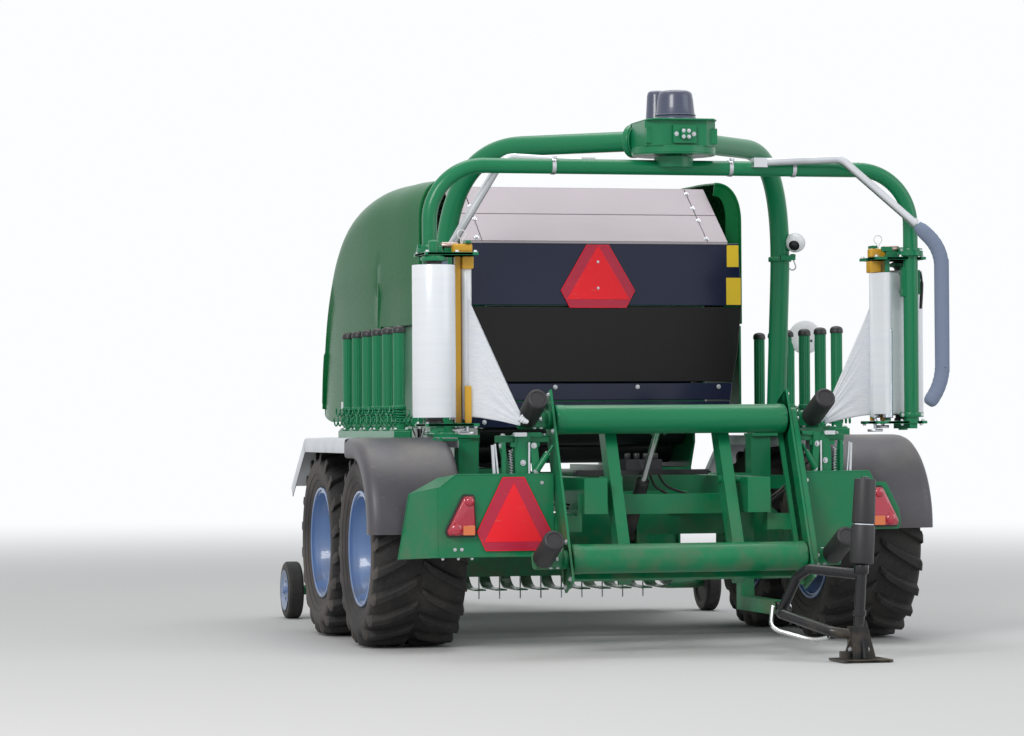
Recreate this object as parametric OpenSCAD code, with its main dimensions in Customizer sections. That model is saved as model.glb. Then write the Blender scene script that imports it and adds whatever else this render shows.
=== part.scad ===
// Round baler with a satellite bale wrapper behind it, towed on a tandem axle.
// Millimetres. X to the right, Y forward, Z up, floor at z = 0.
// Every y below is counted from the wrapping axis; machine() moves the lot to the origin.

/* [Wheels] */
// Outside diameter of a tyre over its lugs
tyre_d = 1022; // [900:1:1080]
// Width of a tyre
tyre_w = 500; // [420:1:520]
// Diameter of the rim's bead seat
rim_d = 571; // [500:1:600]
// Height of a tread lug
lug_h = 30; // [12:1:40]
// Lugs on one side of a tyre
lug_count = 18; // [12:1:22]
// Distance between the middles of the left and right tyres
track = 2462; // [2420:1:2520]
// Rear axle ahead of the wrapping axis
axle_rear_y = 867; // [840:1:900]
// Distance between the two axles
axle_gap = 1070; // [1050:1:1120]

/* [Frame] */
// Width of a main beam
beam_w = 120; // [90:1:140]
// Height of a main beam
beam_h = 180; // [140:1:200]
// Middle of a main beam from the centre line
beam_x = 430; // [410:1:470]
// Underside of the main beams
beam_z = 700; // [690:1:720]
// Reach of the drawbar ahead of the wrapping axis, to the middle of its eye
hitch_y = 5395; // [5200:1:5600]
// Height of the towing eye
hitch_z = 480; // [440:1:560]
// Bore of the towing eye
eye_bore = 50; // [40:1:60]

/* [Bale chamber] */
// Diameter of the bale chamber
chamber_d = 1200; // [1160:1:1210]
// Clear width of the bale chamber
chamber_w = 1224; // [1200:1:1230]
// Diameter of a chamber roller
roller_d = 170; // [140:1:180]
// Thickness of the chamber's side walls
wall_t = 12; // [8:1:16]
// Rear face of the tailgate, ahead of the wrapping axis
gate_y = 1500; // [1480:1:1540]
// Half width of the tailgate's rear skin
gate_half_w = 790; // [740:1:790]

/* [Satellite] */
// Middle of an arm's upright from the wrapping axis
arm_r = 1271; // [1240:1:1275]
// Height of the arm's cross tube
arm_z = 2450; // [2430:1:2455]
// Diameter of the arm's tube
arm_d = 76; // [60:1:80]
// Diameter of a full film roll
roll_d = 250; // [180:1:255]
// Width of the film
film_w = 750; // [500:1:750]
// Diameter of the arch's tube
arch_d = 114; // [90:1:118]
// Height of the arch's top tubes
arch_z = 2598; // [2595:1:2640]
// Arch leg's middle from the centre line
arch_x = 930; // [925:1:935]
// Arch leg's middle ahead of the wrapping axis
arch_y = 1160; // [1156:1:1175]

/* [Table] */
// How far back the table is tipped, in degrees
table_tilt = 66; // [0:1:66]
// Diameter of a table roller
table_roller_d = 150; // [120:1:160]
// Diameter of a side cone
cone_d = 108; // [80:1:112]

/* [Hidden] */
$fn = 48;

// Bale turner's foot, and where the wrapping axis stands behind the middle of the length
turner_y = -1040;
turner_foot = 110;
eye_d = 130;
sat_y = -(hitch_y + eye_d / 2 + turner_y - turner_foot) / 2;

// Facets of round pieces seen close up
fine = 64;

// Paint and material colours
green = [0.05, 0.36, 0.14];
mauve = [0.62, 0.59, 0.61];
black = [0.05, 0.05, 0.06];
grey = [0.24, 0.25, 0.27];
steel = [0.62, 0.64, 0.67];
white = [0.93, 0.94, 0.95];
yellow = [0.93, 0.72, 0.08];
slate = [0.36, 0.40, 0.47];
red = [0.80, 0.10, 0.08];

// Running gaps: between moving pieces, at a pin, and between two faces that only meet
gap = 6;
pin_gap = 0.05;
seat = 0.3;

// Axles, wheels
wheel_x = track / 2;
wheel_r = tyre_d / 2;
axle_front_y = axle_rear_y + axle_gap;
axle_mid_y = axle_rear_y + axle_gap / 2;
rim_r = rim_d / 2;
rim_lip = 14;
hub_d = 190;
hub_bore = 110;
stub_d = hub_bore - 2 * pin_gap;
tyre_in_x = wheel_x - tyre_w / 2;

// Chamber: middle, roller circle and step, and which rollers sit where
chamber_y = 2290;
chamber_z = 1690;
roller_ring = chamber_d / 2 + roller_d / 2;
roller_step = 22.5;
front_rollers = [0.5, 1.5, 2.5, 3.5, -0.5, -2.5, -3.5, -4.5, -5.5];
gate_roller_slots = [4.5, 5.5, 6.5, 7.5, 8.5, 9.5];
wall_in = chamber_w / 2;
wall_out = wall_in + wall_t;

// Tailgate hinge, and where the gate parts from the fixed walls: y, z
hinge_y = 2420;
hinge_z = 2400;
split = [[2330, 2458], [2330, 1450], [1700, 1130]];
gate_low_z = 1130;

// Tailgate cylinders: foot on the wall, eye on the gate
gate_foot = [2650, 1350];
gate_eye = [1900, 2000];
gate_cyl_x = 700;

// Table: pivot, rollers, tilt cylinder's foot and the eye's place when level
pivot_y = 101;
pivot_z = 867;
table_roller_y = 380;
table_roller_z = 1000;
table_arm_x = 300;
cone_x = 755;
cone_y = 380;
cone_z = 1010;
tilt_foot = [900, 560];
tilt_eye_level = [431, 797];

// Bale turner's hinge under the table, and the pickup's hinge
turner_hinge_y = -360;
turner_z = 230;
turner_x = 628;
lift_y = 3420;
lift_z = 640;

function unit(v) = v / norm(v);
function turned(p, a) = [p.x * cos(a) - p.y * sin(a), p.x * sin(a) + p.y * cos(a)];
tilt_eye = [pivot_y, pivot_z] + turned(tilt_eye_level - [pivot_y, pivot_z], table_tilt);

// Moves the machine so that the middle of its length is over the origin
module machine() translate([0, sat_y, 0]) children();

// Both sides of the machine: as drawn at +X, and its mirror image
module both_sides() { children(); mirror([1, 0, 0]) children(); }

// Both ends of the satellite: as drawn at -X, and turned half round
module both_ends() { children(); rotate([0, 0, 180]) children(); }

// Stands +Z along the way from p to q
module along(p, q) {
    d = q - p;
    translate(p) rotate([0, acos(d.z / norm(d)), atan2(d.y, d.x)]) children();
}

module rod(p, q, d) along(p, q) cylinder(d = d, h = norm(q - p));

// A box given by its low and high corners
module block(lo, hi) translate(lo) cube(hi - lo);

// Draws a y-z outline and gives it a thickness along X, from x0 to x1
module plate_x(x0, x1) translate([x0, 0, 0]) rotate([90, 0, 90]) linear_extrude(x1 - x0) children();

// One bend of a tube at corner b, between a and c
module elbow(a, b, c, r, d) {
    u = unit(b - a);
    v = unit(c - b);
    turn = acos(u * v);
    s = b - u * r * tan(turn / 2);
    n = unit(v - u * (u * v));
    m = s + n * r;
    w = cross(-n, u);
    multmatrix([[-n.x, u.x, w.x, m.x], [-n.y, u.y, w.y, m.y], [-n.z, u.z, w.z, m.z], [0, 0, 0, 1]])
        rotate_extrude(angle = turn) translate([r, 0]) circle(d = d);
}

// A tube through the corners p, bent to radius r at each inner one. Bends are welded to the
// straight lengths with a small root gap and a bead round each joint.
root_gap = 1;
bead = 0.8;
module bent_tube(p, r, d) {
    last = len(p) - 1;
    function cut(i) = i == 0 || i == last ? 0
        : r * tan(acos(unit(p[i] - p[i - 1]) * unit(p[i + 1] - p[i])) / 2);
    function root(i) = i == 0 || i == last ? 0 : cut(i) + root_gap;
    for (i = [0 : last - 1]) {
        u = unit(p[i + 1] - p[i]);
        a = p[i] + u * root(i);
        b = p[i + 1] - u * root(i + 1);
        rod(a, b, d);
        if (i > 0) rod(a - u * 5, a + u * 5, d + 2 * bead);
        if (i < last - 1) rod(b - u * 5, b + u * 5, d + 2 * bead);
    }
    for (i = [1 : 1 : last - 1]) elbow(p[i - 1], p[i], p[i + 1], r, d);
}

// Rectangle with round corners, from lo to hi
module rounded(lo, hi, r) {
    block2([lo.x + r, lo.y], [hi.x - r, hi.y]);
    block2([lo.x, lo.y + r], [hi.x, hi.y - r]);
    for (x = [lo.x + r, hi.x - r], y = [lo.y + r, hi.y - r]) translate([x, y]) circle(r);
}
module block2(lo, hi) translate(lo) square(hi - lo);

// A closed sheet between two grids of points of the same size
module sheet(outer, inner) {
    rows = len(outer);
    cols = len(outer[0]);
    n = rows * cols;
    function at(i, j) = i * cols + j;
    points = [for (g = [outer, inner]) for (row = g) for (p = row) p];
    function two(f) = [[f[0], f[1], f[2]], [f[0], f[2], f[3]]];
    skin = [for (i = [0 : rows - 2], j = [0 : cols - 2])
        each two([at(i, j), at(i, j + 1), at(i + 1, j + 1), at(i + 1, j)])];
    back = [for (f = skin) [f[2] + n, f[1] + n, f[0] + n]];
    rim_rows = [for (j = [0 : cols - 2]) each concat(
        two([at(0, j + 1), at(0, j), at(0, j) + n, at(0, j + 1) + n]),
        two([at(rows - 1, j), at(rows - 1, j + 1), at(rows - 1, j + 1) + n, at(rows - 1, j) + n]))];
    rim_cols = [for (i = [0 : rows - 2]) each concat(
        two([at(i, 0), at(i + 1, 0), at(i + 1, 0) + n, at(i, 0) + n]),
        two([at(i + 1, cols - 1), at(i, cols - 1), at(i, cols - 1) + n, at(i + 1, cols - 1) + n]))];
    polyhedron(points, concat(skin, back, rim_rows, rim_cols), convexity = 4);
}

// Frame: two beams with cross members, the pins of the table and ears of the cylinder and pickup
rear_cross_y = 260;
outrigger_y = [430, axle_mid_y, 2330];
arch_foot_z = 1083;
module main_frame() {
    color(green) machine() {
        top = beam_z + beam_h;
        both_sides() {
            block([beam_x - beam_w / 2, -40, beam_z], [beam_x + beam_w / 2, 3900, top]);
            // Pin that the table turns on
            translate([table_arm_x - 45, pivot_y, pivot_z]) rotate([0, 90, 0])
                cylinder(d = 40, h = beam_x - beam_w / 2 - table_arm_x + 45);
        }
        for (y = [rear_cross_y, 1000, 2700, 3780])
            block([-beam_x, y, beam_z - 10], [beam_x, y + 120, beam_z + 90]);
        // Ears and pin of the tilt cylinder's foot
        for (x = [-48, 36])
            block([x, 840, tilt_foot.y - 50], [x + 12, 1000, tilt_foot.y + 40]);
        translate([-52, tilt_foot.x, tilt_foot.y]) rotate([0, 90, 0]) cylinder(d = 40, h = 104);
        block([-60, 960, tilt_foot.y - 60], [60, 1000, beam_z + 90]);
        block([-48, 840, tilt_foot.y - 60], [48, 1000, tilt_foot.y - 50]);
        // Ears and pins of the pickup
        both_sides() {
            block([beam_x + 40, lift_y - 40, lift_z - 32], [beam_x + beam_w / 2, lift_y + 32, beam_z]);
            translate([beam_x + 40, lift_y, lift_z]) rotate([0, 90, 0]) cylinder(d = 40, h = beam_w / 2 + 10);
        }
    }
}

// Outriggers bolted to the beams: to the fenders, the light boards and the arch's legs
module outriggers() {
    color(green) machine() both_sides() {
        top = beam_z + beam_h;
        bolted = beam_x + beam_w / 2 + seat;
        for (y = outrigger_y)
            block([bolted, y - 35, top - 70], [fender_in - seat, y + 35, top]);
        // Board carrier behind the wheels
        block([bolted, 10 + seat, 610], [1200, 80, 690]);
        block([bolted, 10 + seat, 610], [bolted + 20, 80, 800]);
        // Post and shelf under the arch leg
        block([bolted, arch_y - 50, top - 70], [870, arch_y + 50, top]);
        block([760, arch_y - 50, top - 70], [870, arch_y + 50, arch_foot_z]);
        block([760, arch_y - 75, arch_foot_z], [1010, arch_y + 75, arch_foot_z + 15]);
    }
}

// Drop arm and carrier under the table, with ears and pin for the bale turner
module turner_carrier() {
    color(green) machine() {
        block([395, 160, turner_z - 35], [465, 240, beam_z - seat]);
        block([395, turner_hinge_y + 45, turner_z - 35], [465, 240, turner_z + 35]);
        for (x = [386, 462])
            block([x, turner_hinge_y - 25, turner_z - 25], [x + 12, turner_hinge_y + 100, turner_z + 25]);
        translate([386, turner_hinge_y, turner_z]) rotate([0, 90, 0]) cylinder(d = 30, h = 88);
    }
}

// Axle: cross tube, a beam on each side that rocks on it, four stub axles
axle_z = wheel_r;
rocker_x = 880;
module axle_beams() {
    color(green) machine() {
        cross_z = beam_z - 90;
        block([-rocker_x + 40, axle_mid_y - 60, cross_z - 60], [rocker_x - 40, axle_mid_y + 60, cross_z + 60]);
        both_sides() {
            plate_x(rocker_x - 40, rocker_x + 40) polygon([
                [axle_rear_y - 80, axle_z - 70], [axle_front_y + 80, axle_z - 70],
                [axle_front_y + 80, axle_z + 70], [axle_mid_y + 130, cross_z + 90],
                [axle_mid_y - 130, cross_z + 90], [axle_rear_y - 80, axle_z + 70]]);
            for (y = [axle_rear_y, axle_front_y])
                translate([rocker_x, y, axle_z]) rotate([0, 90, 0]) {
                    cylinder(d = 150, h = tyre_in_x + 60 - rocker_x);
                    cylinder(d = stub_d, h = wheel_x + 150 - rocker_x, $fn = fine);
                }
        }
    }
}

// Saddles that clamp the cross tube under the main beams
module axle_saddles() {
    color(green) machine() both_sides()
        block([beam_x - 80, axle_mid_y - 90, beam_z - 30 + seat], [beam_x + 80, axle_mid_y + 90, beam_z - seat]);
}

// Drawbar: two beams that meet, a tongue, the jack's sleeve
tongue_y = 4950;
jack_y = 4800;
jack_x = -220;
module drawbar() {
    color(green) machine() {
        both_sides() hull() {
            block([beam_x - beam_w / 2, 3904, beam_z], [beam_x + beam_w / 2, 3924, beam_z + 160]);
            block([5, tongue_y - 20, hitch_z - 60], [90, tongue_y, hitch_z + 60]);
        }
        block([-beam_x - beam_w / 2, 3900, beam_z], [beam_x + beam_w / 2, 3924, beam_z + 160]);
        block([-90, tongue_y - 20, hitch_z - 60], [90, tongue_y + 200, hitch_z + 60]);
        // Sleeve of the jack, and its arm to the beam
        difference() {
            translate([jack_x - 55, jack_y - 55, 330]) cube([110, 110, 420]);
            translate([jack_x - 42, jack_y - 42, 329]) cube([84, 84, 422]);
        }
        block([jack_x + 55, jack_y - 40, 420], [-60, jack_y + 40, 520]);
    }
}

module tow_eye() {
    color(steel) machine() {
        difference() {
            union() {
                translate([0, hitch_y, hitch_z]) cylinder(d = eye_d, h = 42, center = true, $fn = fine);
                block([-45, tongue_y + 200, hitch_z - 21], [45, hitch_y, hitch_z + 21]);
                block([-80, tongue_y + 200, hitch_z - 55], [80, tongue_y + 225, hitch_z + 55]);
            }
            translate([0, hitch_y, hitch_z]) cylinder(d = eye_bore, h = 60, center = true, $fn = fine);
        }
    }
}

module jack_leg() {
    color(steel) machine() {
        translate([jack_x - 40, jack_y - 40, 14]) cube([80, 80, 640]);
        translate([jack_x - 110, jack_y - 110, 0]) cube([220, 220, 14]);
    }
}

// Gearbox on the front cross member, with its splined input shaft
gearbox_y = 3990;
module gearbox() {
    color(grey) machine() {
        translate([0, 0, beam_z + 160 + seat]) linear_extrude(240) rounded([-150, gearbox_y - 150], [150, gearbox_y + 150], 40);
        translate([0, gearbox_y + 140, beam_z + 281]) rotate([-90, 0, 0]) {
            cylinder(d = 130, h = 50);
            cylinder(d = 35, h = 150);
        }
        rod([-560, gearbox_y, beam_z + 281], [-130, gearbox_y, beam_z + 281], 80);
    }
}

// Chamber walls: outline ahead of the split, y and z
roof = [[2470, 2470], [2950, 2440], [3200, 2290], [3400, 2040], [3550, 1740], [3690, 1440]];
module chamber_sides() {
    color(green) machine() both_sides() {
        plate_x(wall_in, wall_out) difference() {
            polygon(concat(
                [[split[0].x + gap, split[0].y - 60], [split[1].x + gap, split[1].y - gap],
                 [split[2].x, split[2].y - gap], [1700, 1050], [1780, beam_z + beam_h + 30],
                 [3690, beam_z + beam_h + 30]],
                [for (i = [len(roof) - 1 : -1 : 0]) roof[i] - [12, 14 + seat]]));
        }
        // Foot of the walls on the beams
        block([beam_x, 1780, beam_z + beam_h], [wall_out, 3690, beam_z + beam_h + 30]);
        // Hinge lugs of the tailgate and foot pin of its cylinder
        translate([wall_out, hinge_y, hinge_z]) rotate([0, 90, 0]) cylinder(d = 36, h = 60);
        translate([wall_out, gate_foot.x, gate_foot.y]) rotate([0, 90, 0])
            cylinder(d = 40, h = gate_cyl_x + 45 - wall_out);
    }
}

// Fixed panels under the doors, with the brackets that carry them
module rack_panels() {
    color(green) machine() both_sides() {
        block([916, 1800, 1140], [928, 2420, 1700]);
        for (y = [1830, 2390]) block([wall_out + seat, y, 1150], [918, y + 12, 1210]);
    }
}

module chamber_roller(slot) {
    a = slot * roller_step;
    translate([0, chamber_y + roller_ring * cos(a), chamber_z + roller_ring * sin(a)]) rotate([0, 90, 0]) {
        cylinder(d = roller_d, h = chamber_w - 30, center = true);
        cylinder(d = 50, h = chamber_w - 2 * seat, center = true);
    }
}
module chamber_rollers() { color(black) machine() for (s = front_rollers) chamber_roller(s); }
module gate_rollers() { color(black) machine() for (s = gate_roller_slots) chamber_roller(s); }

// Hood between the doors, over the front of the chamber
module front_hood() {
    hood_half_w = door_hinge_x - seat;
    color(mauve) machine() {
        plate_x(-hood_half_w, hood_half_w) polygon(concat(
            roof, [for (i = [len(roof) - 1 : -1 : 0]) roof[i] - [12, 14]]));
    }
}

// Door: stations along y, each with its side, top and lower edge
// y, x of the side, z of the top
door_stations = [
    [1785, 928, 2505], [2200, 1000, 2515], [2600, 1060, 2510], [2950, 1100, 2440],
    [3200, 1120, 2290], [3400, 1130, 2040], [3550, 1128, 1740], [3690, 1110, 1440]];
door_hinge_x = 775;
door_hinge_z = 2505;
door_t = 12;
door_low = 1180;
door_shoulder = 210;
function door_row(s, t) = let (w = s[1] - door_hinge_x - t, top = s[2] - t, h = min(door_shoulder, top - door_low - 60))
    concat(
        [for (a = [0 : 15 : 90]) [door_hinge_x + w * pow(sin(a), 0.8), s[0], top - h + h * pow(cos(a), 0.8)]],
        [[s[1] - t, s[0], door_low + (top - h - door_low) / 2], [s[1] - t, s[0], door_low]]);
module door() {
    difference() {
        sheet([for (s = door_stations) door_row(s, 0)], [for (s = door_stations) door_row(s, door_t)]);
        block([door_hinge_x + 60, 1700, door_low - 50], [1300, 2430, 1710]);
    }
    // Hinge barrels
    for (y = [2300, 2560]) translate([door_hinge_x, y, door_hinge_z]) rotate([-90, 0, 0]) cylinder(d = 20, h = 60);
}
module door_right() { color(green) machine() door(); }
module door_left() { color(green) machine() mirror([1, 0, 0]) door(); }

// Tailgate: side plates with cross members, skins, top panels
module gate_outline() polygon([
    [split[0].x, split[0].y], [split[1].x, split[1].y], [split[2].x + 20, split[2].y + gap],
    [gate_y + 90, gate_low_z], [gate_y + 14, gate_low_z + 60], [gate_y + 14, 2150],
    [1800, 2350], [1960, 2458]]);
module gate_frame() {
    color(green) machine() {
        both_sides() {
            plate_x(wall_in, wall_out) gate_outline();
            // Arm to the hinge pin, clear of the fixed wall
            plate_x(wall_out, wall_out + gap) block2([2200, hinge_z - 45], [split[0].x, hinge_z + 45]);
            difference() {
                plate_x(wall_out + gap, wall_out + gap + 12) {
                    translate([hinge_y, hinge_z]) circle(d = 90);
                    block2([2200, hinge_z - 45], [hinge_y, hinge_z + 45]);
                }
                translate([wall_out, hinge_y, hinge_z]) rotate([0, 90, 0]) cylinder(d = 36 + 2 * pin_gap, h = 30);
            }
            // Boss beside the cylinder's eye
            translate([wall_out, gate_eye.x, gate_eye.y]) rotate([0, 90, 0]) cylinder(d = 56, h = gate_cyl_x - eye_half - 2 - wall_out);
        }
        for (m = [[1250, 40], [1800, 12], [2060, 40]])
            block([-wall_in, gate_y + 14, m[0]], [wall_in, gate_y + 14 + m[1], m[0] + 80]);
    }
}
module gate_skins() {
    color(black) machine() {
        for (row = [[1136, 1276], [1284, 1376], [1384, 1796], [1804, 2148]])
            block([-gate_half_w, gate_y, row[0]], [gate_half_w, gate_y + 14 - seat, row[1]]);
        both_sides() block([gate_half_w - 8, gate_y + 14 - seat, 1136], [gate_half_w, gate_y + 120, 2148]);
    }
}
module gate_top() {
    color(mauve) machine() plate_x(-755, 755) polygon([
        [gate_y, 2152], [1786, 2356], [1952, 2474], [2380, 2476],
        [2380, 2464], [1956, 2462], [1794, 2346], [gate_y + 12, 2152]]);
}

// Cylinders: a barrel with its foot and a rod with its eye, in the y-z plane
module barrel(foot, eye, x, d, long) {
    f = [x, foot.x, foot.y];
    e = [x, eye.x, eye.y];
    difference() {
        union() {
            rod(f, f + unit(e - f) * long, d);
            translate(f) rotate([0, 90, 0]) cylinder(d = 76, h = 60, center = true);
        }
        translate(f) rotate([0, 90, 0]) cylinder(d = 40 + 2 * pin_gap, h = 80, center = true);
        translate(f + unit(e - f) * 60) along([0, 0, 0], e - f) cylinder(d = 36, h = long);
    }
}
eye_half = 20;
module rod_eye(foot, eye, x, start, pin_low, pin_high) {
    f = [x, foot.x, foot.y];
    e = [x, eye.x, eye.y];
    rod(f + unit(e - f) * start, e, 35);
    translate(e) rotate([0, 90, 0]) cylinder(d = 70, h = 2 * eye_half, center = true);
    translate(e + [pin_low, 0, 0]) rotate([0, 90, 0]) cylinder(d = 24, h = pin_high - pin_low);
}
gate_barrel_l = 640;
module gate_barrels() { color(black) machine() both_sides() barrel(gate_foot, gate_eye, gate_cyl_x, 70, gate_barrel_l); }
module gate_rods() { color(steel) machine() both_sides() rod_eye(gate_foot, gate_eye, gate_cyl_x, 90, -eye_half, eye_half + 12); }
tilt_barrel_l = 420;
module tilt_barrel() { color(black) machine() barrel(tilt_foot, tilt_eye, 0, 70, tilt_barrel_l); }
module tilt_rod() { color(steel) machine() rod_eye(tilt_foot, tilt_eye, 0, 380, -eye_half - 5, eye_half + 5); }

// Fenders: one arched sheet over both wheels on each side, with a skirt outside and inside
fender_top = 1082;
fender_rear = 318;
fender_front = axle_front_y + wheel_r + 38;
fender_in = 900;
fender_out = 1510;
fender_t = 12;
module fender_profile(t) {
    difference() {
        union() {
            rounded([fender_rear + t, 100], [1500, fender_top - t], 280 - t);
            polygon([[1200, 100], [1200, fender_top - t], [2150 - t * 0.6, fender_top - t],
                [fender_front - t, 830 - t * 0.6], [fender_front - t, 100]]);
        }
        block2([0, 0], [3000, 575]);
    }
}
module fenders() {
    color(grey) machine() both_sides() difference() {
        union() {
            plate_x(fender_in, fender_out) difference() { fender_profile(0); fender_profile(fender_t); }
            plate_x(fender_out - fender_t, fender_out) difference() {
                fender_profile(0);
                translate([0, -70]) fender_profile(50);
                block2([fender_rear + 50, 500], [fender_front - 50, 700]);
            }
            plate_x(fender_in, fender_in + fender_t) intersection() {
                fender_profile(0);
                block2([0, beam_z + beam_h - 40], [3000, 1100]);
            }
        }
    }
}

// Light boards: rear sheet, folded outwards and forwards at its outer end
board_in = 640;
board_out = 1237;
module light_boards() {
    color(green) machine() both_sides() {
        difference() {
            translate([0, 0, 490]) linear_extrude(415) polygon([
                [board_in, 0], [board_out, 0], [1376, 300], [1368, 304],
                [board_out - 6, 10], [board_in, 10]]);
            // Sloping top of the outer end
            translate([0, 400, 0]) rotate([90, 0, 0]) linear_extrude(500) polygon([
                [1143, 906], [board_out - 20, 848], [1400, 790], [1400, 920], [1143, 920]]);
        }
        block([board_in, 10, 895], [1140, 30, 905]);
    }
}
module tail_lamps() {
    color(red) machine() both_sides() translate([0, -seat, 0]) rotate([90, 0, 0]) linear_extrude(45) polygon([
        [1040, 592], [1195, 592], [1203, 625], [1112, 805], [1050, 805]]);
}

// Spare film racks: rail, springs, spindles and their caps
rack_x = 1215;
rack_first = 1000;
rack_step = 270;
rack_z = 1086;
module roll_racks() {
    color(green) machine() both_sides() {
        block([rack_x - 45, rack_first - 80, fender_top + seat], [rack_x + 45, rack_first + 5 * rack_step + 80, 1122]);
        for (i = [0 : 5]) translate([rack_x, rack_first + i * rack_step, 0]) {
            translate([0, 0, 1122]) cylinder(d = 34, h = 120);
            translate([0, 0, 1235]) cylinder(d = 63.5, h = 410);
            translate([0, 0, 1645]) cylinder(d = 72, h = 30);
            translate([-90, 0, 1165]) rotate([0, 90, 0]) cylinder(d = 60, h = 180);
        }
    }
}

// Arch: two legs that bend over to the slewing gear
arch_bend = 250;
arch_way = unit([arch_x, arch_y, 0]);
housing_reach = 240;
module arch() {
    color(green) machine() both_sides() {
        bent_tube([[arch_x, arch_y, arch_foot_z + 15], [arch_x, arch_y, arch_z],
            arch_way * (housing_reach + 8) + [0, 0, arch_z]], arch_bend, arch_d);
        translate(arch_way * housing_reach + [0, 0, arch_z]) along([0, 0, 0], arch_way) cylinder(d = 160, h = 20);
    }
}
slew_z = 2510;
hub_low = 2470;
shaft_d = 90;
module slew_housing() {
    color(green) machine() {
        translate([0, 0, slew_z + 40]) linear_extrude(130) intersection() {
            square(370, center = true);
            rotate(45) square(430, center = true);
        }
        translate([0, 0, slew_z]) cylinder(d = 420, h = 40, $fn = fine);
        translate([0, 0, hub_low + 2]) cylinder(d = shaft_d, h = slew_z - hub_low, $fn = fine);
        both_sides() translate([0, 0, arch_z]) along([0, 0, 0], arch_way) {
            translate([0, 0, 150]) cylinder(d = 110, h = housing_reach - 160);
            translate([0, 0, housing_reach - 20]) cylinder(d = 160, h = 20);
        }
    }
}
module motor_caps() {
    color(slate) machine() {
        translate([-7, -60, 2680]) cylinder(d1 = 206, d2 = 172, h = 158, $fn = fine);
        translate([-55, 108, 2680]) cylinder(d1 = 118, d2 = 96, h = 170);
    }
}
camera_d = 108;
module camera() {
    color(white) machine() {
        ball = [arch_x + 60, arch_y - 100, 2120];
        translate(ball) sphere(d = camera_d);
        // Bracket from the arch's leg to the underside of the ball
        top = ball.z - camera_d / 2 - seat;
        block([arch_x - 12, ball.y - 12, top - 24], [arch_x + 12, arch_y - arch_d / 2 - seat, top]);
        block([arch_x - 12, ball.y - 12, top - 24], [ball.x + 12, ball.y + 12, top]);
    }
}

// Film cutters: a post on the board carrier, an arm and a jaw
module film_cutters() {
    color(green) machine() both_sides() {
        block([750, 34, 690 + seat], [830, 94, 1105]);
        block([645, 60, 1062], [917, 110, 1095]);
        block([690, 40, 1095], [760, 100, 1112]);
    }
}

// Satellite arm: hub and bent tube, collars and brackets for the film carriers
carrier_low = 1145;
carrier_high = 1990;
// Middles of the stretch rollers and of the post beside them
web_x = -arm_r + 163;
post_x = -arm_r + 121;
module sat_arm() {
    color(green) machine() difference() {
        union() {
        bent_tube([[-arm_r, 0, carrier_low], [-arm_r, 0, arm_z], [arm_r, 0, arm_z], [arm_r, 0, carrier_low]], 280, arm_d);
        translate([0, 0, hub_low - 20]) cylinder(d = 200, h = slew_z - gap - hub_low + 20, $fn = fine);
        both_ends() {
            translate([-arm_r, 0, 2010]) cylinder(d = 130, h = 24);
            block([-arm_r - 30, -20, 1800], [-arm_r + 50, 20, 1950]);
            // Plates above and below the film carrier
            block([-arm_r - 74, -230, carrier_low], [-arm_r + 196, 30, carrier_low + 14]);
            block([-arm_r - 74, -230, carrier_high], [-arm_r + 196, 30, carrier_high + 14]);
        }
        }
        translate([0, 0, hub_low]) cylinder(d = shaft_d + 2 * pin_gap, h = slew_z - hub_low, $fn = fine);
    }
}
roll_y = -190;
roll_z = 1190;
module film_rolls() {
    color(white) machine() both_ends() translate([-arm_r, roll_y, roll_z]) {
        cylinder(d = roll_d, h = film_w, $fn = fine);
        translate([0, 0, carrier_low + 14 + seat - roll_z]) cylinder(d = 90, h = carrier_high - carrier_low - 14 - 2 * seat);
    }
}
module stretch_units() {
    color(yellow) machine() both_ends() {
        block([post_x - 18, -115, carrier_low + 14 + seat], [post_x + 12, -85, carrier_high - seat]);
        block([web_x - 17, -130, carrier_high - 50], [web_x + 23, -70, carrier_high - seat]);
        block([post_x - 29, -130, carrier_high + 14 + seat], [web_x + 28, -70, carrier_high + 62]);
        block([web_x - 22, -142, carrier_low + 14 + seat], [web_x + 14, -132, carrier_low + 205]);
    }
}
module stretch_rollers() {
    color(steel) machine() both_ends()
        // Each roller: place, diameter, its top, diameter of its shaft, the shaft's top
        for (p = [[web_x, -100, 50, carrier_high - 55, 16, carrier_high - 51], [post_x, -20, 54, 1638, 28, carrier_high - seat]])
            translate([p[0], p[1], 0]) {
                translate([0, 0, 1175]) cylinder(d = p[2], h = p[3] - 1175);
                translate([0, 0, carrier_low + 14 + seat]) cylinder(d = p[4], h = p[5] - carrier_low - 14 - seat);
            }
}
web_gap = 31;
web_end = -(cone_x + cone_d / 2 + web_gap);
module film_webs() {
    color(white) machine() both_ends() translate([0, -126, 0]) rotate([-90, 0, 0]) mirror([0, 1, 0])
        linear_extrude(0.6) polygon([[web_x, 1190], [web_x, 1790], [web_end, 1283], [web_end, 1143]]);
}

// Guard rails ahead of the film carriers, drawn at +X
guard = [[440, -62, 2478], [868, -80, 2500], [1228, -200, 2160]];
foam_way = unit(guard[2] - guard[1]);
foam_path = [guard[2] + foam_way * seat, guard[2] + foam_way * 170, [1345, -250, 1350], [1265, -250, 1240]];
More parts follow.
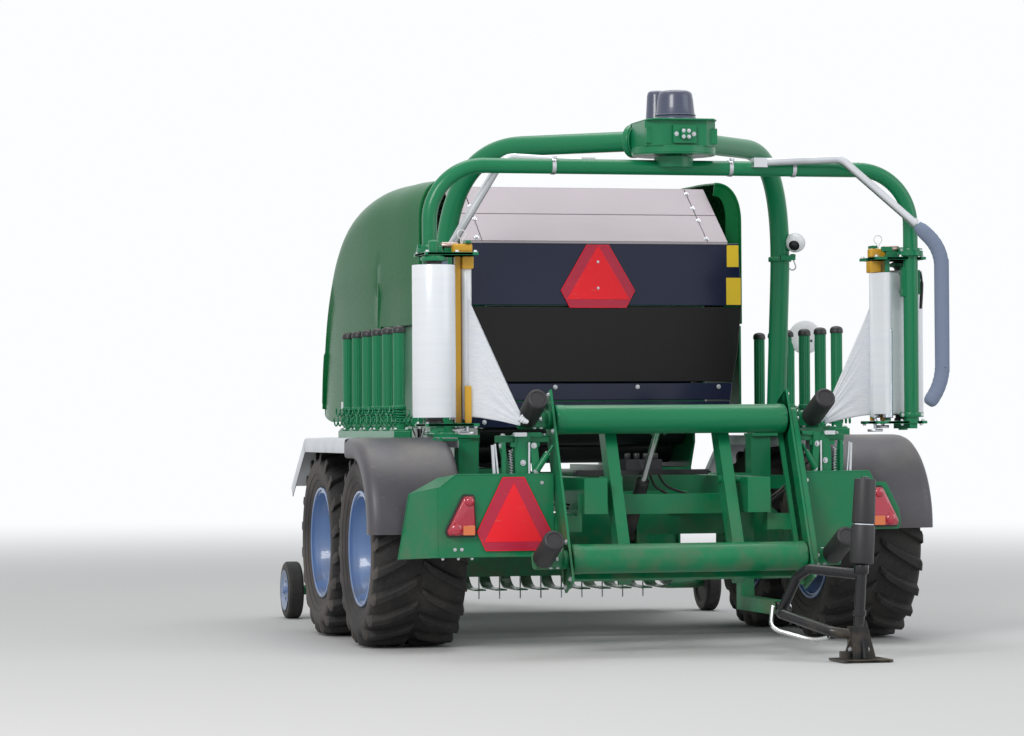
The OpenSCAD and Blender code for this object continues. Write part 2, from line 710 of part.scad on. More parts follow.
// The other end's rail hangs closer in, drawn at -X
inner_guard = [[-440, 62, 2478], [-868, 80, 2500], [-1085, 190, 2110]];
inner_way = unit(inner_guard[2] - inner_guard[1]);
inner_foam = [inner_guard[2] + inner_way * seat, inner_guard[2] + inner_way * 180, [-1195, 262, 1350], [-1150, 262, 1240]];
module guard_bars() {
    color(steel) machine() {
        bent_tube(guard, 90, 42);
        bent_tube(inner_guard, 90, 42);
        both_ends() block([400, -90, 2455], [470, -arm_d / 2 - seat, 2500]);
    }
}
module guard_foam() {
    color(slate) machine() {
        bent_tube(foam_path, 90, 76);
        bent_tube(inner_foam, 90, 76);
    }
}

// Table, drawn level and then tipped back about its pivot
module tipped() translate([0, pivot_y, pivot_z]) rotate([table_tilt, 0, 0]) translate([0, -pivot_y, -pivot_z]) children();
module table_frame() {
    color(green) machine() tipped() {
        both_sides() {
            difference() {
                block([table_arm_x - 30, -450, 817], [table_arm_x + 30, 450, 917]);
                translate([table_arm_x - 31, pivot_y, pivot_z]) rotate([0, 90, 0]) cylinder(d = 40 + 2 * pin_gap, h = 62);
            }
            block([620, -520, 900], [632, 520, 1060]);
            for (y = [-cone_y, cone_y]) {
                block([620, y - 40, cone_z - 30], [cone_x + 40, y + 40, cone_z - 10]);
                translate([cone_x, y, cone_z - 10]) cylinder(d = 24, h = 10);
            }
        }
        for (y = [-455, 385]) block([-632, y, 886], [632, y + 70, 918]);
        // Lugs on both sides of the cylinder's eye
        for (x = [-40, 28]) plate_x(x, x + 12) polygon([
            [388, 890], [394, 766], [466, 766], [466, 830], [452, 890]]);
        for (x = [-48, 40]) translate([x, tilt_eye_level.x, tilt_eye_level.y]) rotate([0, 90, 0]) cylinder(d = 44, h = 8);
    }
}
module table_rollers() {
    color(black) machine() tipped() {
        for (y = [-table_roller_y, table_roller_y]) translate([0, y, table_roller_z]) rotate([0, 90, 0]) {
            cylinder(d = table_roller_d, h = 1220, center = true);
            cylinder(d = 40, h = 1240 - 2 * seat, center = true);
        }
        both_sides() for (y = [-cone_y, cone_y]) translate([cone_x, y, cone_z + seat]) cylinder(d = cone_d, h = 250);
    }
}

// Bale turner: a frame hinged behind the table that drags its foot, with two rollers on a post
turner_low = [turner_x - 30, turner_y, 70];
turner_top = [turner_x + 14, turner_y, 890];
module turner_frame() {
    color(black) machine() {
        bent_tube([[345, -640, 224], [400, -720, 400], [435, -800, 440], [turner_x - 12, turner_y, 420]], 50, 50);
        rod(turner_low, turner_top, 40);
        rod(turner_low, turner_low + unit(turner_top - turner_low) * 395, 52);
        block([turner_x - 140, turner_y - turner_foot, 3], [turner_x + 110, turner_y + turner_foot, 15]);
        block([turner_x - 70, turner_y - 40, 10], [turner_x + 10, turner_y + 40, 170]);
        // Main tube with its boss on the hinge pin
        difference() {
            union() {
                bent_tube([[430, turner_hinge_y, turner_z], [426, -490, 226], [320, -690, 222],
                    [480, -1000, 145], [turner_x - 20, turner_y, 125]], 70, 50);
                translate([408, turner_hinge_y, turner_z]) rotate([0, 90, 0]) cylinder(d = 64, h = 44);
            }
            translate([380, turner_hinge_y, turner_z]) rotate([0, 90, 0]) cylinder(d = 30 + 2 * pin_gap, h = 100);
        }
    }
}
module turner_rollers() {
    color(black) machine() {
        p = turner_low;
        q = turner_top;
        difference() {
            union() {
                rod(p + unit(q - p) * 403, p + unit(q - p) * 590, 116);
                rod(p + unit(q - p) * 596, p + unit(q - p) * 812, 112);
            }
            rod(p, q, 42);
        }
    }
}

// Tyre: a round-shouldered ring with slanted lugs
module tyre_section() {
    difference() {
        union() {
            rounded([rim_r + 4, -tyre_w / 2], [wheel_r - lug_h, tyre_w / 2], 70);
            block2([rim_r + 4, -tyre_w / 2 + 45], [rim_r + 90, tyre_w / 2 - 45]);
        }
        rounded([rim_r - 100, -tyre_w / 2 + 30], [wheel_r - lug_h - 34, tyre_w / 2 - 30], 50);
        block2([0, -tyre_w], [rim_r + 4, tyre_w]);
    }
}
lug_half = 68;
module tyre() {
    rotate([0, 90, 0]) {
        rotate_extrude($fn = 72) tyre_section();
        for (s = [-1, 1], i = [0 : lug_count - 1])
            rotate([0, 0, (i + (s > 0 ? 0.5 : 0)) * 360 / lug_count])
                rotate([0, 90, 0]) translate([0, 0, wheel_r - lug_h - 12])
                    linear_extrude(sqrt(wheel_r * wheel_r - lug_half * lug_half) - wheel_r + lug_h + 12)
                        polygon([[s * 8, -lug_half], [s * (tyre_w / 2 - 12), lug_half - 46],
                            [s * (tyre_w / 2 - 12), lug_half], [s * 8, 52 - lug_half]]);
    }
}
module rim() {
    rotate([0, 90, 0]) difference() {
        rotate_extrude($fn = 72) {
            // Barrel with its two lips
            polygon([[rim_r, -205], [rim_r, 205], [rim_r + rim_lip, 205], [rim_r + rim_lip, 217],
                [rim_r - 10, 217], [rim_r - 10, -217], [rim_r + rim_lip, -217], [rim_r + rim_lip, -205]]);
            // Dish
            polygon([[hub_bore / 2, 60], [150, 60], [210, 10], [rim_r - 10, 40], [rim_r - 10, 54], [212, 26], [156, 76], [hub_bore / 2, 76]]);
            // Hub
            block2([hub_bore / 2, -60], [hub_d / 2, 60]);
        }
        for (i = [0 : 9]) rotate([0, 0, i * 36]) translate([125, 0, 50]) cylinder(d = 18, h = 40);
    }
}
module wheel_at(side, y) machine() translate([side * wheel_x, y, wheel_r]) scale([side, 1, 1]) children();
module tyre_rear_left() { color(black) wheel_at(-1, axle_rear_y) tyre(); }
module tyre_rear_right() { color(black) wheel_at(1, axle_rear_y) tyre(); }
module tyre_front_left() { color(black) wheel_at(-1, axle_front_y) tyre(); }
module tyre_front_right() { color(black) wheel_at(1, axle_front_y) tyre(); }
module rim_rear_left() { color(steel) wheel_at(-1, axle_rear_y) rim(); }
module rim_rear_right() { color(steel) wheel_at(1, axle_rear_y) rim(); }
module rim_front_left() { color(steel) wheel_at(-1, axle_front_y) rim(); }
module rim_front_right() { color(steel) wheel_at(1, axle_front_y) rim(); }

// Pickup: side plates, back plate, bands between the tines, arms to the chassis, wheel legs
reel_y = 3760;
reel_z = 340;
reel_r = 250;
pickup_half = 1040;
tine_pitch = 130;
tine_bars = 4;
tines_each_way = 7;
gauge_x = 1300;
gauge_y = 3683;
gauge_r = 170;
module pickup_frame() {
    color(green) machine() {
        both_sides() {
            plate_x(pickup_half, pickup_half + 12) polygon([
                [3420, 230], [3700, 150], [3960, 200], [4000, 420], [3860, 640], [3420, 640]]);
            difference() {
                block([beam_x + beam_w / 2 + gap, lift_y - 30, lift_z - 30], [pickup_half, lift_y + 30, lift_z + 30]);
                translate([beam_x, lift_y, lift_z]) rotate([0, 90, 0]) cylinder(d = 40 + 2 * pin_gap, h = beam_w / 2 + 60);
            }
            // Stub that the gauge wheel runs on
            translate([pickup_half, gauge_y, gauge_r]) rotate([0, 90, 0]) {
                cylinder(d = 60, h = gauge_x - 60 - pickup_half);
                cylinder(d = 40 - 2 * pin_gap, h = gauge_x + 50 - pickup_half, $fn = fine);
            }
        }
        block([-pickup_half, 3440, 240], [pickup_half, 3452, 590]);
        block([-pickup_half, 3440, 540], [pickup_half, 3500, 590]);
        for (i = [-tines_each_way - 1 : tines_each_way]) translate([(i + 0.5) * tine_pitch - 35, reel_y, reel_z]) rotate([90, 0, 90]) linear_extrude(70)
            difference() {
                union() { circle(186); block2([-310, 150], [0, 186]); block2([-310, -186], [0, -150]); }
                circle(178);
                block2([-400, -178], [0, 178]);
            }
    }
}
module pickup_reel() {
    color(steel) machine() translate([0, reel_y, reel_z]) rotate([0, 90, 0]) {
        cylinder(d = 90, h = 2 * pickup_half - 2 * seat, center = true);
        for (b = [0 : tine_bars - 1]) rotate([0, 0, b * 360 / tine_bars]) {
            for (i = [-tines_each_way : tines_each_way]) translate([20, 0, i * tine_pitch]) rotate([0, 90, 0]) cylinder(d = 9, h = reel_r - 20, $fn = 6);
        }
    }
}
module gauge_wheel() {
    rotate([0, 90, 0]) rotate_extrude() difference() {
        union() { rounded([110, -45], [gauge_r, 45], 20); block2([20, -30], [112, 30]); }
        block2([45, 12], [105, 50]);
    }
}
module gauge_wheel_left() { color(black) machine() translate([-gauge_x, gauge_y, gauge_r]) scale([-1, 1, 1]) gauge_wheel(); }
module gauge_wheel_right() { color(black) machine() translate([gauge_x, gauge_y, gauge_r]) gauge_wheel(); }

main_frame();
outriggers();
turner_carrier();
drawbar();
tow_eye();
jack_leg();
gearbox();
axle_beams();
axle_saddles();
chamber_sides();
rack_panels();
chamber_rollers();
front_hood();
door_left();
door_right();
gate_frame();
gate_skins();
gate_top();
gate_rollers();
gate_barrels();
gate_rods();
fenders();
light_boards();
tail_lamps();
roll_racks();
arch();
slew_housing();
motor_caps();
camera();
film_cutters();
sat_arm();
film_rolls();
stretch_units();
stretch_rollers();
film_webs();
guard_bars();
guard_foam();
table_frame();
table_rollers();
tilt_barrel();
tilt_rod();
turner_frame();
turner_rollers();
tyre_rear_left();
tyre_rear_right();
tyre_front_left();
tyre_front_right();
rim_rear_left();
rim_rear_right();
rim_front_left();
rim_front_right();
pickup_frame();
pickup_reel();
gauge_wheel_left();
gauge_wheel_right();
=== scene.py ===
import math

import bmesh
import bpy
import numpy as np
from mathutils import Matrix


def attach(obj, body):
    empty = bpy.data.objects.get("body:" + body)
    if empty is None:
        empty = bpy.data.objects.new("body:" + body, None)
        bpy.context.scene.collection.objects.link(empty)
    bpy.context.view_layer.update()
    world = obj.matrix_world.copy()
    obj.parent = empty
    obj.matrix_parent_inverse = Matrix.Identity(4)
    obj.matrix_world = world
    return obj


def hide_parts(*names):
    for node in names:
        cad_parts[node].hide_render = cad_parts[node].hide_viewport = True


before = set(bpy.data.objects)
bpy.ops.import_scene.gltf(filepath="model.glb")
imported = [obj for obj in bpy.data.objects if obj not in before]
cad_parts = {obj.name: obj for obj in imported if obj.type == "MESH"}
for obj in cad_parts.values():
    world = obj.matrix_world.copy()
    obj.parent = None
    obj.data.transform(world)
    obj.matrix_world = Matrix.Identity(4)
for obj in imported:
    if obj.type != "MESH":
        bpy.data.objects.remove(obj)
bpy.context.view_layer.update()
scene = bpy.context.scene

# Viewpoint: the picture's camera stands behind the machine to its left, far back, with a long lens.
# Metres and radians; the wrapping axis stands at (0, axis_y).
axis_y = -2.155
eye_point = np.array([-5.093, axis_y - 17.013, 1.150])
heading, lift, lean = math.radians(14.0), math.radians(0.933), 0.006
focal_pixels, frame_pixels, sensor_mm = 3500, 1024, 36
ahead = np.array([math.sin(heading) * math.cos(lift), math.cos(heading) * math.cos(lift), math.sin(lift)])
level_right = np.array([math.cos(heading), -math.sin(heading), 0])
level_up = np.cross(level_right, ahead)
right = level_right * math.cos(lean) - level_up * math.sin(lean)
up = level_up * math.cos(lean) + level_right * math.sin(lean)
camera_data = bpy.data.cameras.new("camera_eye")
camera_data.lens, camera_data.sensor_width = focal_pixels / frame_pixels * sensor_mm, sensor_mm
camera_data.clip_start, camera_data.clip_end = 0.5, 400
eye = bpy.data.objects.new("camera_eye", camera_data)
scene.collection.objects.link(eye)
eye.matrix_world = Matrix([[right[i], up[i], -ahead[i], eye_point[i]] for i in range(3)] + [[0, 0, 0, 1]])
scene.camera = eye
scene.view_settings.view_transform = "Standard"


class Wire:
    """A socket of a material. Arithmetic on wires adds Math nodes; node() adds any other."""

    def __init__(self, tree, socket):
        self.tree, self.socket = tree, socket

    def node(self, kind, settings=None, inputs=None, out=0):
        """Adds a node of that type, sets it, then links or fills its sockets."""
        made = self.tree.nodes.new("ShaderNode" + kind)
        for key, value in (settings or {}).items():
            if key == "stops":
                for _ in value[2:]:
                    made.color_ramp.elements.new(1)
                for stop, (place, shade) in zip(made.color_ramp.elements, value):
                    stop.position, stop.color = place, (*shade, 1)
            else:
                setattr(made, key, value)
        for key, value in (inputs or {}).items():
            if isinstance(value, Wire):
                self.tree.links.new(value.socket, made.inputs[key])
            else:
                made.inputs[key].default_value = value
        return Wire(self.tree, made.outputs[out])

    def maths(self, operation, *others):
        """A Math node of that operation on this wire and the others."""
        return self.node("Math", {"operation": operation}, dict(enumerate([self, *others])))

    def __add__(self, other):
        return self.maths("ADD", other)

    def __sub__(self, other):
        return self.maths("SUBTRACT", other)

    def __rsub__(self, other):
        return self.maths("MULTIPLY_ADD", -1.0, other)

    def __mul__(self, other):
        return self.maths("MULTIPLY", other)

    __radd__, __rmul__ = __add__, __mul__

    def step(self, low, high):
        """0 below low, 1 above high, smooth between."""
        return self.node("MapRange", {"interpolation_type": "SMOOTHSTEP"},
                         {"Value": self, "From Min": low, "From Max": high})

    def noise(self, scale, detail=3.0, stretch=(1, 1, 1)):
        """Noise at so many cells a metre, on a point wire that may be stretched first."""
        place = self.node("Mapping", {}, {"Vector": self, "Scale": stretch}) if stretch != (1, 1, 1) else self
        return place.node("TexNoise", {}, {"Vector": place, "Scale": float(scale), "Detail": detail})

    def between(self, dark, light):
        """The colour between two colours that this factor picks."""
        made = self.tree.nodes.new("ShaderNodeMix")
        made.data_type = "RGBA"
        for place, value in ((0, self), (6, dark), (7, light)):
            if isinstance(value, Wire):
                self.tree.links.new(value.socket, made.inputs[place])
            else:
                made.inputs[place].default_value = (*value, 1)
        return Wire(self.tree, made.outputs[2])


def new_material(name):
    """A material, its Principled shader, the point on the piece, and the face's own direction."""
    made = bpy.data.materials.new(name)
    made.use_nodes = True
    tree = made.node_tree
    source = tree.nodes.new("ShaderNodeTexCoord")
    point, facing = (Wire(tree, source.outputs[kind]) for kind in ("Object", "Normal"))
    return made, tree.nodes["Principled BSDF"], point, facing


def feed(shader, **values):
    """Sets or links the shader's sockets; Base_Color stands for Base Color."""
    for key, value in values.items():
        socket = shader.inputs[key.replace("_", " ")]
        if isinstance(value, Wire):
            value.tree.links.new(value.socket, socket)
        else:
            socket.default_value = (*value, 1) if isinstance(value, tuple) else value


def relief(height, strength, distance=0.001):
    """A bump of that height wire."""
    return height.node("Bump", {}, {"Height": height, "Strength": strength, "Distance": distance})


def upper_side(facing, place):
    """How far a face looks up, broken by noise: where dust settles."""
    z = facing.node("SeparateXYZ", {}, {0: facing}, out=2)
    return z.step(0.35, 1.0) * place.noise(3.0, 5.0).step(0.35, 0.75)


def low_down(place, top):
    """How near the ground a point is, broken by noise: where road dirt sticks."""
    z = place.node("SeparateXYZ", {}, {0: place}, out=2)
    return (1.0 - z.step(0.15, top)) * place.noise(9.0, 6.0).step(0.38, 0.72)


dust, mud = (0.42, 0.38, 0.31), (0.17, 0.14, 0.10)


def enamel(name, shade, rough=0.28, coat=0.5, dusty=0.35, dirt_top=1.0, shine=0.3):
    """Sprayed enamel on steel: slow drift of the colour, orange peel, dust on top, dirt low down."""
    made, shader, place, facing = new_material(name)
    drift = place.noise(1.3)
    colour = drift.between(tuple(c * 0.86 for c in shade), tuple(min(1, c * 1.14) for c in shade))
    powder = upper_side(facing, place) * dusty
    soil = low_down(place, dirt_top) * 0.55
    colour = soil.between(powder.between(colour, dust), mud)
    feed(shader, Base_Color=colour, Roughness=rough + powder * 0.5 + soil * 0.5 + place.noise(30.0) * 0.06,
         Coat_Weight=(1.0 - soil) * coat, Coat_Roughness=0.06, Specular_IOR_Level=shine,
         Normal=relief(place.noise(420.0, 2.0), 0.05))
    return made


def bare_metal(name, shade, rough=0.3, streak=(1, 1, 1), tarnish=0.4, dirt_top=0.6):
    """Zinc, chrome or aluminium: brushed streaks in the roughness, cloudy tarnish."""
    made, shader, place, facing = new_material(name)
    lines = place.noise(90.0, 4.0, streak)
    cloud = place.noise(5.0, 6.0).step(0.4, 0.8) * tarnish
    soil = low_down(place, dirt_top) * 0.5
    colour = soil.between(cloud.between(shade, tuple(c * 0.55 for c in shade)), mud)
    feed(shader, Base_Color=colour, Metallic=1.0 - soil, Roughness=rough + lines * 0.16 + cloud * 0.25 + soil * 0.3,
         Normal=relief(lines, 0.08, 0.0005))
    return made


def finished(material, *names):
    """Gives CAD solids that material in place of their own."""
    for name in names:
        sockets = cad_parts[name].data.materials
        sockets.clear()
        sockets.append(material)


green = enamel("green_enamel", (0.005, 0.195, 0.078), 0.27, 0.15, 0.08)
black_paint = enamel("black_chassis_paint", (0.018, 0.018, 0.022), 0.38, 0.25, 0.35)
zinc = bare_metal("zinc_plate", (0.62, 0.64, 0.67), 0.32)
chrome = bare_metal("chromed_rod", (0.78, 0.79, 0.80), 0.10, (1, 1, 1), 0.1)
finished(green, *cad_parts)
finished(black_paint, "gearbox", "chamber_rollers", "gate_rollers", "gate_barrels", "tilt_barrel")
finished(chrome, "gate_rods", "tilt_rod")
finished(zinc, "jack_leg", "tow_eye")


# Wheels: four wide farm tyres on dished rims. The carcass is moulded rubber with a closed ring of
# rounded bars on each half of the tread; the rims are pressed steel, bolted to their hubs.
def rubber(name, shade, dirt=0.6, grain=0.2, rough=0.72):
    """Tyre rubber: dried soil in blotches, worn pale on the raised parts, a matt skin."""
    made, shader, place, facing = new_material(name)
    blotch = place.noise(6.0, 8.0).step(0.42, 0.7) * dirt
    speck = place.noise(60.0, 5.0).step(0.5, 0.75) * dirt * 0.5
    sideways = facing.node("SeparateXYZ", {}, {0: facing}, out=0)
    wall = (sideways * sideways).step(0.6, 0.97) * place.noise(2.6, 6.0).step(0.25, 0.7) * dirt * 1.6
    colour = wall.between(speck.between(blotch.between(shade, (0.075, 0.068, 0.06)), (0.11, 0.10, 0.09)),
                          (0.13, 0.112, 0.10))
    feed(shader, Base_Color=colour, Roughness=rough + blotch * 0.2,
         Normal=relief(place.noise(180.0, 5.0), grain, 0.002))
    return made


tyre_rubber = rubber("tyre_rubber", (0.011, 0.010, 0.011), 0.35)
# Silver-blue rim paint whose blue is made deeper and more saturated as a painted reflection of the sky; the gauge
# discs share it.
rim_blue_and_painted_sky = enamel("rim_silver_blue_and_painted_sky_reflection", (0.13, 0.23, 0.46), 0.26, 0.5, 0.15, 0.6, 0.5)
pole = 0.02  # how far off its axis a turned solid's end point stands, until doubles are merged
merge_gap = 2e-5  # metres within which two points become one


def at(points):
    """Metres in the shared frame, from millimetres counted from the wrapping axis."""
    return (np.asarray(points, float) + [0, axis_y * 1000, 0]) / 1000


def unit(v):
    """The vector, or each row of vectors, divided by its own length."""
    v = np.asarray(v, float)
    return v / np.linalg.norm(v, axis=-1, keepdims=True)


def joined(*parts):
    """Parts as one. A part is its points and a list of blocks of faces with the same corner count."""
    starts = np.cumsum([0] + [len(points) for points, blocks in parts[:-1]])
    return (np.concatenate([points for points, blocks in parts]),
            [block + start for (points, blocks), start in zip(parts, starts) for block in blocks])


def mirrored(part, signs=(-1, 1, 1)):
    """The part with its coordinates times signs: (-1, 1, 1) is the other side, (-1, -1, 1) half a turn."""
    return part[0] * np.array(signs, float), part[1]


def both(*parts, signs=(-1, 1, 1)):
    """The parts and their mirror images."""
    whole = joined(*parts)
    return joined(whole, mirrored(whole, signs))


def copied(part, shifts):
    """A copy of the part moved by each shift."""
    points, blocks = part
    shifts = np.asarray(shifts, float).reshape(-1, 3)
    count = np.arange(len(shifts))[:, None, None] * len(points)
    return ((points[None] + shifts[:, None]).reshape(-1, 3),
            [(block[None] + count).reshape(-1, block.shape[1]) for block in blocks])


def spun(part, foot, way, angles):
    """A copy of the part turned by each angle about the axis through foot along way."""
    points, blocks = part
    way, angles = unit(way), np.asarray(angles, float)
    arm = points - foot
    along = (arm @ way)[:, None] * way
    flat = arm - along
    side = np.cross(way, flat)
    moved = foot + along + np.cos(angles)[:, None, None] * flat + np.sin(angles)[:, None, None] * side
    count = np.arange(len(angles))[:, None, None] * len(points)
    return moved.reshape(-1, 3), [(block[None] + count).reshape(-1, block.shape[1]) for block in blocks]


def skin(points, wrap_rows=False, wrap_columns=False):
    """Quads over a (rows, columns, 3) array of points, closed on itself where wrapped."""
    rows, columns = points.shape[:2]
    index = np.arange(rows * columns).reshape(rows, columns)
    if wrap_columns:
        index = np.concatenate([index, index[:, :1]], axis=1)
    if wrap_rows:
        index = np.concatenate([index, index[:1]], axis=0)
    quads = np.stack([index[:-1, :-1], index[:-1, 1:], index[1:, 1:], index[1:, :-1]], axis=-1)
    return points.reshape(-1, 3), [quads.reshape(-1, 4)]


def loft(rings):
    """A closed solid: quads between neighbouring rings of points, one polygon on each end ring."""
    points, blocks = skin(rings, wrap_columns=True)
    ring = np.arange(rings.shape[1])[None]
    return points, blocks + [ring[:, ::-1], ring + len(points) - rings.shape[1]]


def square_to(ahead):
    """Two unit vectors square to each direction, from the axis that the directions follow least."""
    reference = np.eye(3)[np.argmin(np.abs(np.atleast_2d(ahead)).max(axis=0))]
    across = unit(np.cross(ahead, reference))
    return across, np.cross(ahead, across)


def turned(profile, foot, way, steps=48, closed=False):
    """A profile of (distance from the axis, height along it) carried round the axis at foot."""
    profile, way = np.asarray(profile, float), unit(way)
    radius = np.maximum(profile[:, 0], pole)[:, None, None]
    across, over = square_to(way)
    angle = np.linspace(0, 2 * np.pi, steps, endpoint=False)
    spoke = np.cos(angle)[:, None] * across + np.sin(angle)[:, None] * over
    rings = np.asarray(foot, float) + profile[:, 1, None, None] * way + radius * spoke[None]
    return skin(rings, True, True) if closed else loft(rings)


def hung(name, parts, material, body="chassis", smooth=38, replaces=()):
    """Makes a mesh of the parts: doubles merged, faces outward, edges sharp above an angle. It rides
    on the body, takes the material, and stands for the nodes that it replaces."""
    points, blocks = joined(*parts)
    mesh = bpy.data.meshes.new(name)
    mesh.from_pydata(at(points).tolist(), [], [face for block in blocks for face in block.tolist()])
    shell = bmesh.new()
    shell.from_mesh(mesh)
    bmesh.ops.remove_doubles(shell, verts=shell.verts, dist=merge_gap)
    bmesh.ops.recalc_face_normals(shell, faces=shell.faces)
    shell.to_mesh(mesh)
    shell.free()
    mesh.shade_smooth()
    mesh.set_sharp_from_angle(angle=math.radians(smooth))
    mesh.materials.append(material)
    piece = bpy.data.objects.new(name, mesh)
    scene.collection.objects.link(piece)
    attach(piece, body)
    if replaces:
        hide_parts(*replaces)
    return piece


tyre_half, lug_top, axle_height = 250.0, 511.0, 511.0  # half a tyre's width, its radius, its hub
axle = ((0, 0, 0), (1, 0, 0))
half_section = [(290, 196), (300, 214), (318, 222), (350, 236), (385, 246), (415, 250), (438, 247),
                (455, 238), (467, 222), (474, 200), (478, 160), (480, 110), (481, 50)]
carcass = half_section + [(481, 0)] + [(r, -x) for r, x in half_section[::-1]]
carcass = carcass + [(300, -150), (330, -60), (330, 60), (300, 150)]
rib_rings = [[(r, s * (x - 1)), (r + 5, s * (x + 3.5)), (r + 10, s * (x + 1))] for s in (-1, 1)
             for r, x in ((340, 232), (372, 242))]


def tread_bar(side, phase):
    """One bar: its middle line runs from the crown's middle out over the shoulder, across x and round
    by t, and folds down past 0.8 of its length s; rings of eight points stand on it, base to crest,
    their corners rounded."""
    s = np.linspace(0, 1, 15)
    fold = np.clip((s - 0.80) / 0.20, 0, 1)
    x = 8 + (tyre_half - 22) * np.clip(s / 0.80, 0, 1) ** 0.95 + 9 * fold
    x = np.minimum(x, tyre_half - 3)
    t = -78 + 148 * np.clip(s / 0.85, 0, 1) ** 0.75 + 18 * fold
    base = np.interp(x, [0, 110, 200, 222, 240, 250], [470, 468, 462, 452, 440, 415]) - 38 * fold
    crest = np.interp(s, [0, 0.06, 0.5, 0.78, 0.9, 1.0], [496, lug_top, lug_top - 1, lug_top - 8, 478, 432])
    half_wide = np.interp(s, [0, 0.1, 0.8, 1.0], [15, 21, 27, 20])
    reach = np.array([-1.45, -1.22, -0.98, -0.72, 0.72, 0.98, 1.22, 1.45])
    rise = np.array([0.0, 0.45, 0.90, 1.0, 1.0, 0.90, 0.45, 0.0])
    height = base[:, None] + (crest - base)[:, None] * rise
    around = (t[:, None] + half_wide[:, None] * reach) / lug_top + phase
    out = x[:, None] + np.where(s[:, None] > 0.8, 4.0, 0.0) * rise
    return loft(np.stack([side * np.minimum(out, tyre_half), -height * np.sin(around), height * np.cos(around)],
                         axis=-1))


bar_count = 20
bars = [spun(tread_bar(side, 0.0 if side > 0 else math.pi / bar_count), *axle,
             np.arange(bar_count) * 2 * np.pi / bar_count) for side in (-1, 1)]
rubber_ring = joined(turned(carcass, *axle, 120, closed=True), *bars,
                     *[turned(ring + [(ring[1][0], ring[1][1] * 0.97)], *axle, 96, closed=True)
                       for ring in rib_rings])
bead = [(r, x) for r, x in ((288, 217), (300, 217), (304, 222), (300, 227), (291, 227), (286, 222))]
well = [(275.2, 213), (275.2, 203), (270, 190), (270, 168), (258, 152), (258, 118), (252, 108), (252, 84), (244, 66),
        (241, 66), (249, 86), (249, 110), (255, 120), (255, 153), (267, 169), (267, 191), (272, 205), (272, 213)]
hub_cap = [(0, 92), (30, 91), (52, 86), (60, 78), (62, 60), (78, 58), (82, 52), (82, 40), (0, 40)]
nut = turned([(0, 30), (7, 30), (13, 26), (14, 10), (19, 8), (19, 4), (0, 4)], (70, 0, 138), (1, 0, 0), 6)
wheel_trim = joined(turned(bead, *axle, 72, closed=True), turned(well, *axle, 72, closed=True),
                    turned([(r, -x) for r, x in bead], *axle, 72, closed=True))
wheel_metal = joined(turned(hub_cap, (36, 0, 0), (1, 0, 0), 40),
                     spun(nut, *axle, np.arange(10) * math.pi / 5),
                     turned([(0, 42), (4, 40), (5, 4), (7, 0), (0, 0)], (56, 0, 236), (1, 0, -0.25), 10))
sides = ((-1, "left"), (1, "right"))
for side, hand in sides:
    for wheel_y, end, roll in ((867, "rear", 0.11), (1937, "front", 0.02)):
        middle = np.array([side * 1231.0, wheel_y, axle_height])
        wheel = f"wheel_{end}_{hand}"
        tilted = spun(rubber_ring, *axle, [roll])
        hung(f"farm_tyre_{end}_{hand}", [(tilted[0] * [side, 1, 1] + middle, tilted[1])], tyre_rubber, wheel,
             32, [f"tyre_{end}_{hand}"])
        finished(rim_blue_and_painted_sky, f"rim_{end}_{hand}")
        hung(f"rim_rings_{end}_{hand}", [(wheel_trim[0] * [side, 1, 1] + middle, wheel_trim[1])], rim_blue_and_painted_sky, wheel)
        hung(f"hub_and_nuts_{end}_{hand}", [(wheel_metal[0] * [side, 1, 1] + middle, wheel_metal[1])], zinc, wheel)

# Fenders: at the back a moulded plastic quarter with a rolled outer lip, ahead of it a flat folded
# sheet of zinc-coated steel over both wheels that slopes down in front. Both are bolted to brackets.
def moulded(name, shade, rough=0.45, grain=0.12, dusty=0.3, dirt_top=0.9, coat=0.0):
    """Moulded plastic: fine grain in the bump, pale scuffs, dust on top."""
    made, shader, place, facing = new_material(name)
    scuff = place.noise(14.0, 8.0, (1, 1, 4)).step(0.62, 0.8) * 0.18
    powder = upper_side(facing, place) * dusty
    soil = low_down(place, dirt_top) * 0.5
    base = place.noise(2.0).between(tuple(c * 0.88 for c in shade), tuple(min(1, c * 1.12) for c in shade))
    colour = soil.between(powder.between(scuff.between(base, dust), dust), mud)
    feed(shader, Base_Color=colour, Roughness=rough + scuff * 0.6 + powder * 0.3, Coat_Weight=coat,
         Normal=relief(place.noise(700.0, 2.0), grain))
    return made


fender_grey = moulded("fender_plastic", (0.065, 0.062, 0.075), 0.42, 0.16, 0.35)


def arc(middle, radius, start, stop, count):
    """Points on a circle in a plane, from one angle in degrees to another."""
    angle = np.radians(np.linspace(start, stop, count))
    return np.asarray(middle, float) + radius * np.stack([np.cos(angle), np.sin(angle)], axis=-1)


def arched(way, section, thick):
    """A sheet: a section of (x, depth) carried along a way of (y, z); depth counts in from the way's
    outer side. The inner face is the same with thick more depth, and the rims are closed."""
    way, section = np.asarray(way, float), np.asarray(section, float)
    run = unit(np.gradient(way, axis=0))
    out = np.stack([-run[:, 1], run[:, 0]], axis=-1)
    cross = unit(np.gradient(section, axis=0))
    inner = section + thick * np.stack([-cross[:, 1], cross[:, 0]], axis=-1)
    loop = np.concatenate([section, inner[::-1]])
    yz = way[:, None] - out[:, None] * loop[None, :, 1, None]
    return loft(np.concatenate([np.broadcast_to(loop[None, :, :1], (*yz.shape[:2], 1)), yz], axis=-1))


def inset(outline, depth):
    """The closed outline with each corner moved in along its mitre by depth."""
    after = np.roll(outline, -1, axis=0)
    ahead = unit(after - outline)
    spin = np.sign(np.sum(outline[:, 0] * after[:, 1] - outline[:, 1] * after[:, 0]))
    inward = spin * np.stack([-ahead[:, 1], ahead[:, 0]], axis=-1)
    before = np.roll(inward, 1, axis=0)
    return outline + depth * (inward + before) / (1 + np.sum(inward * before, axis=1, keepdims=True))


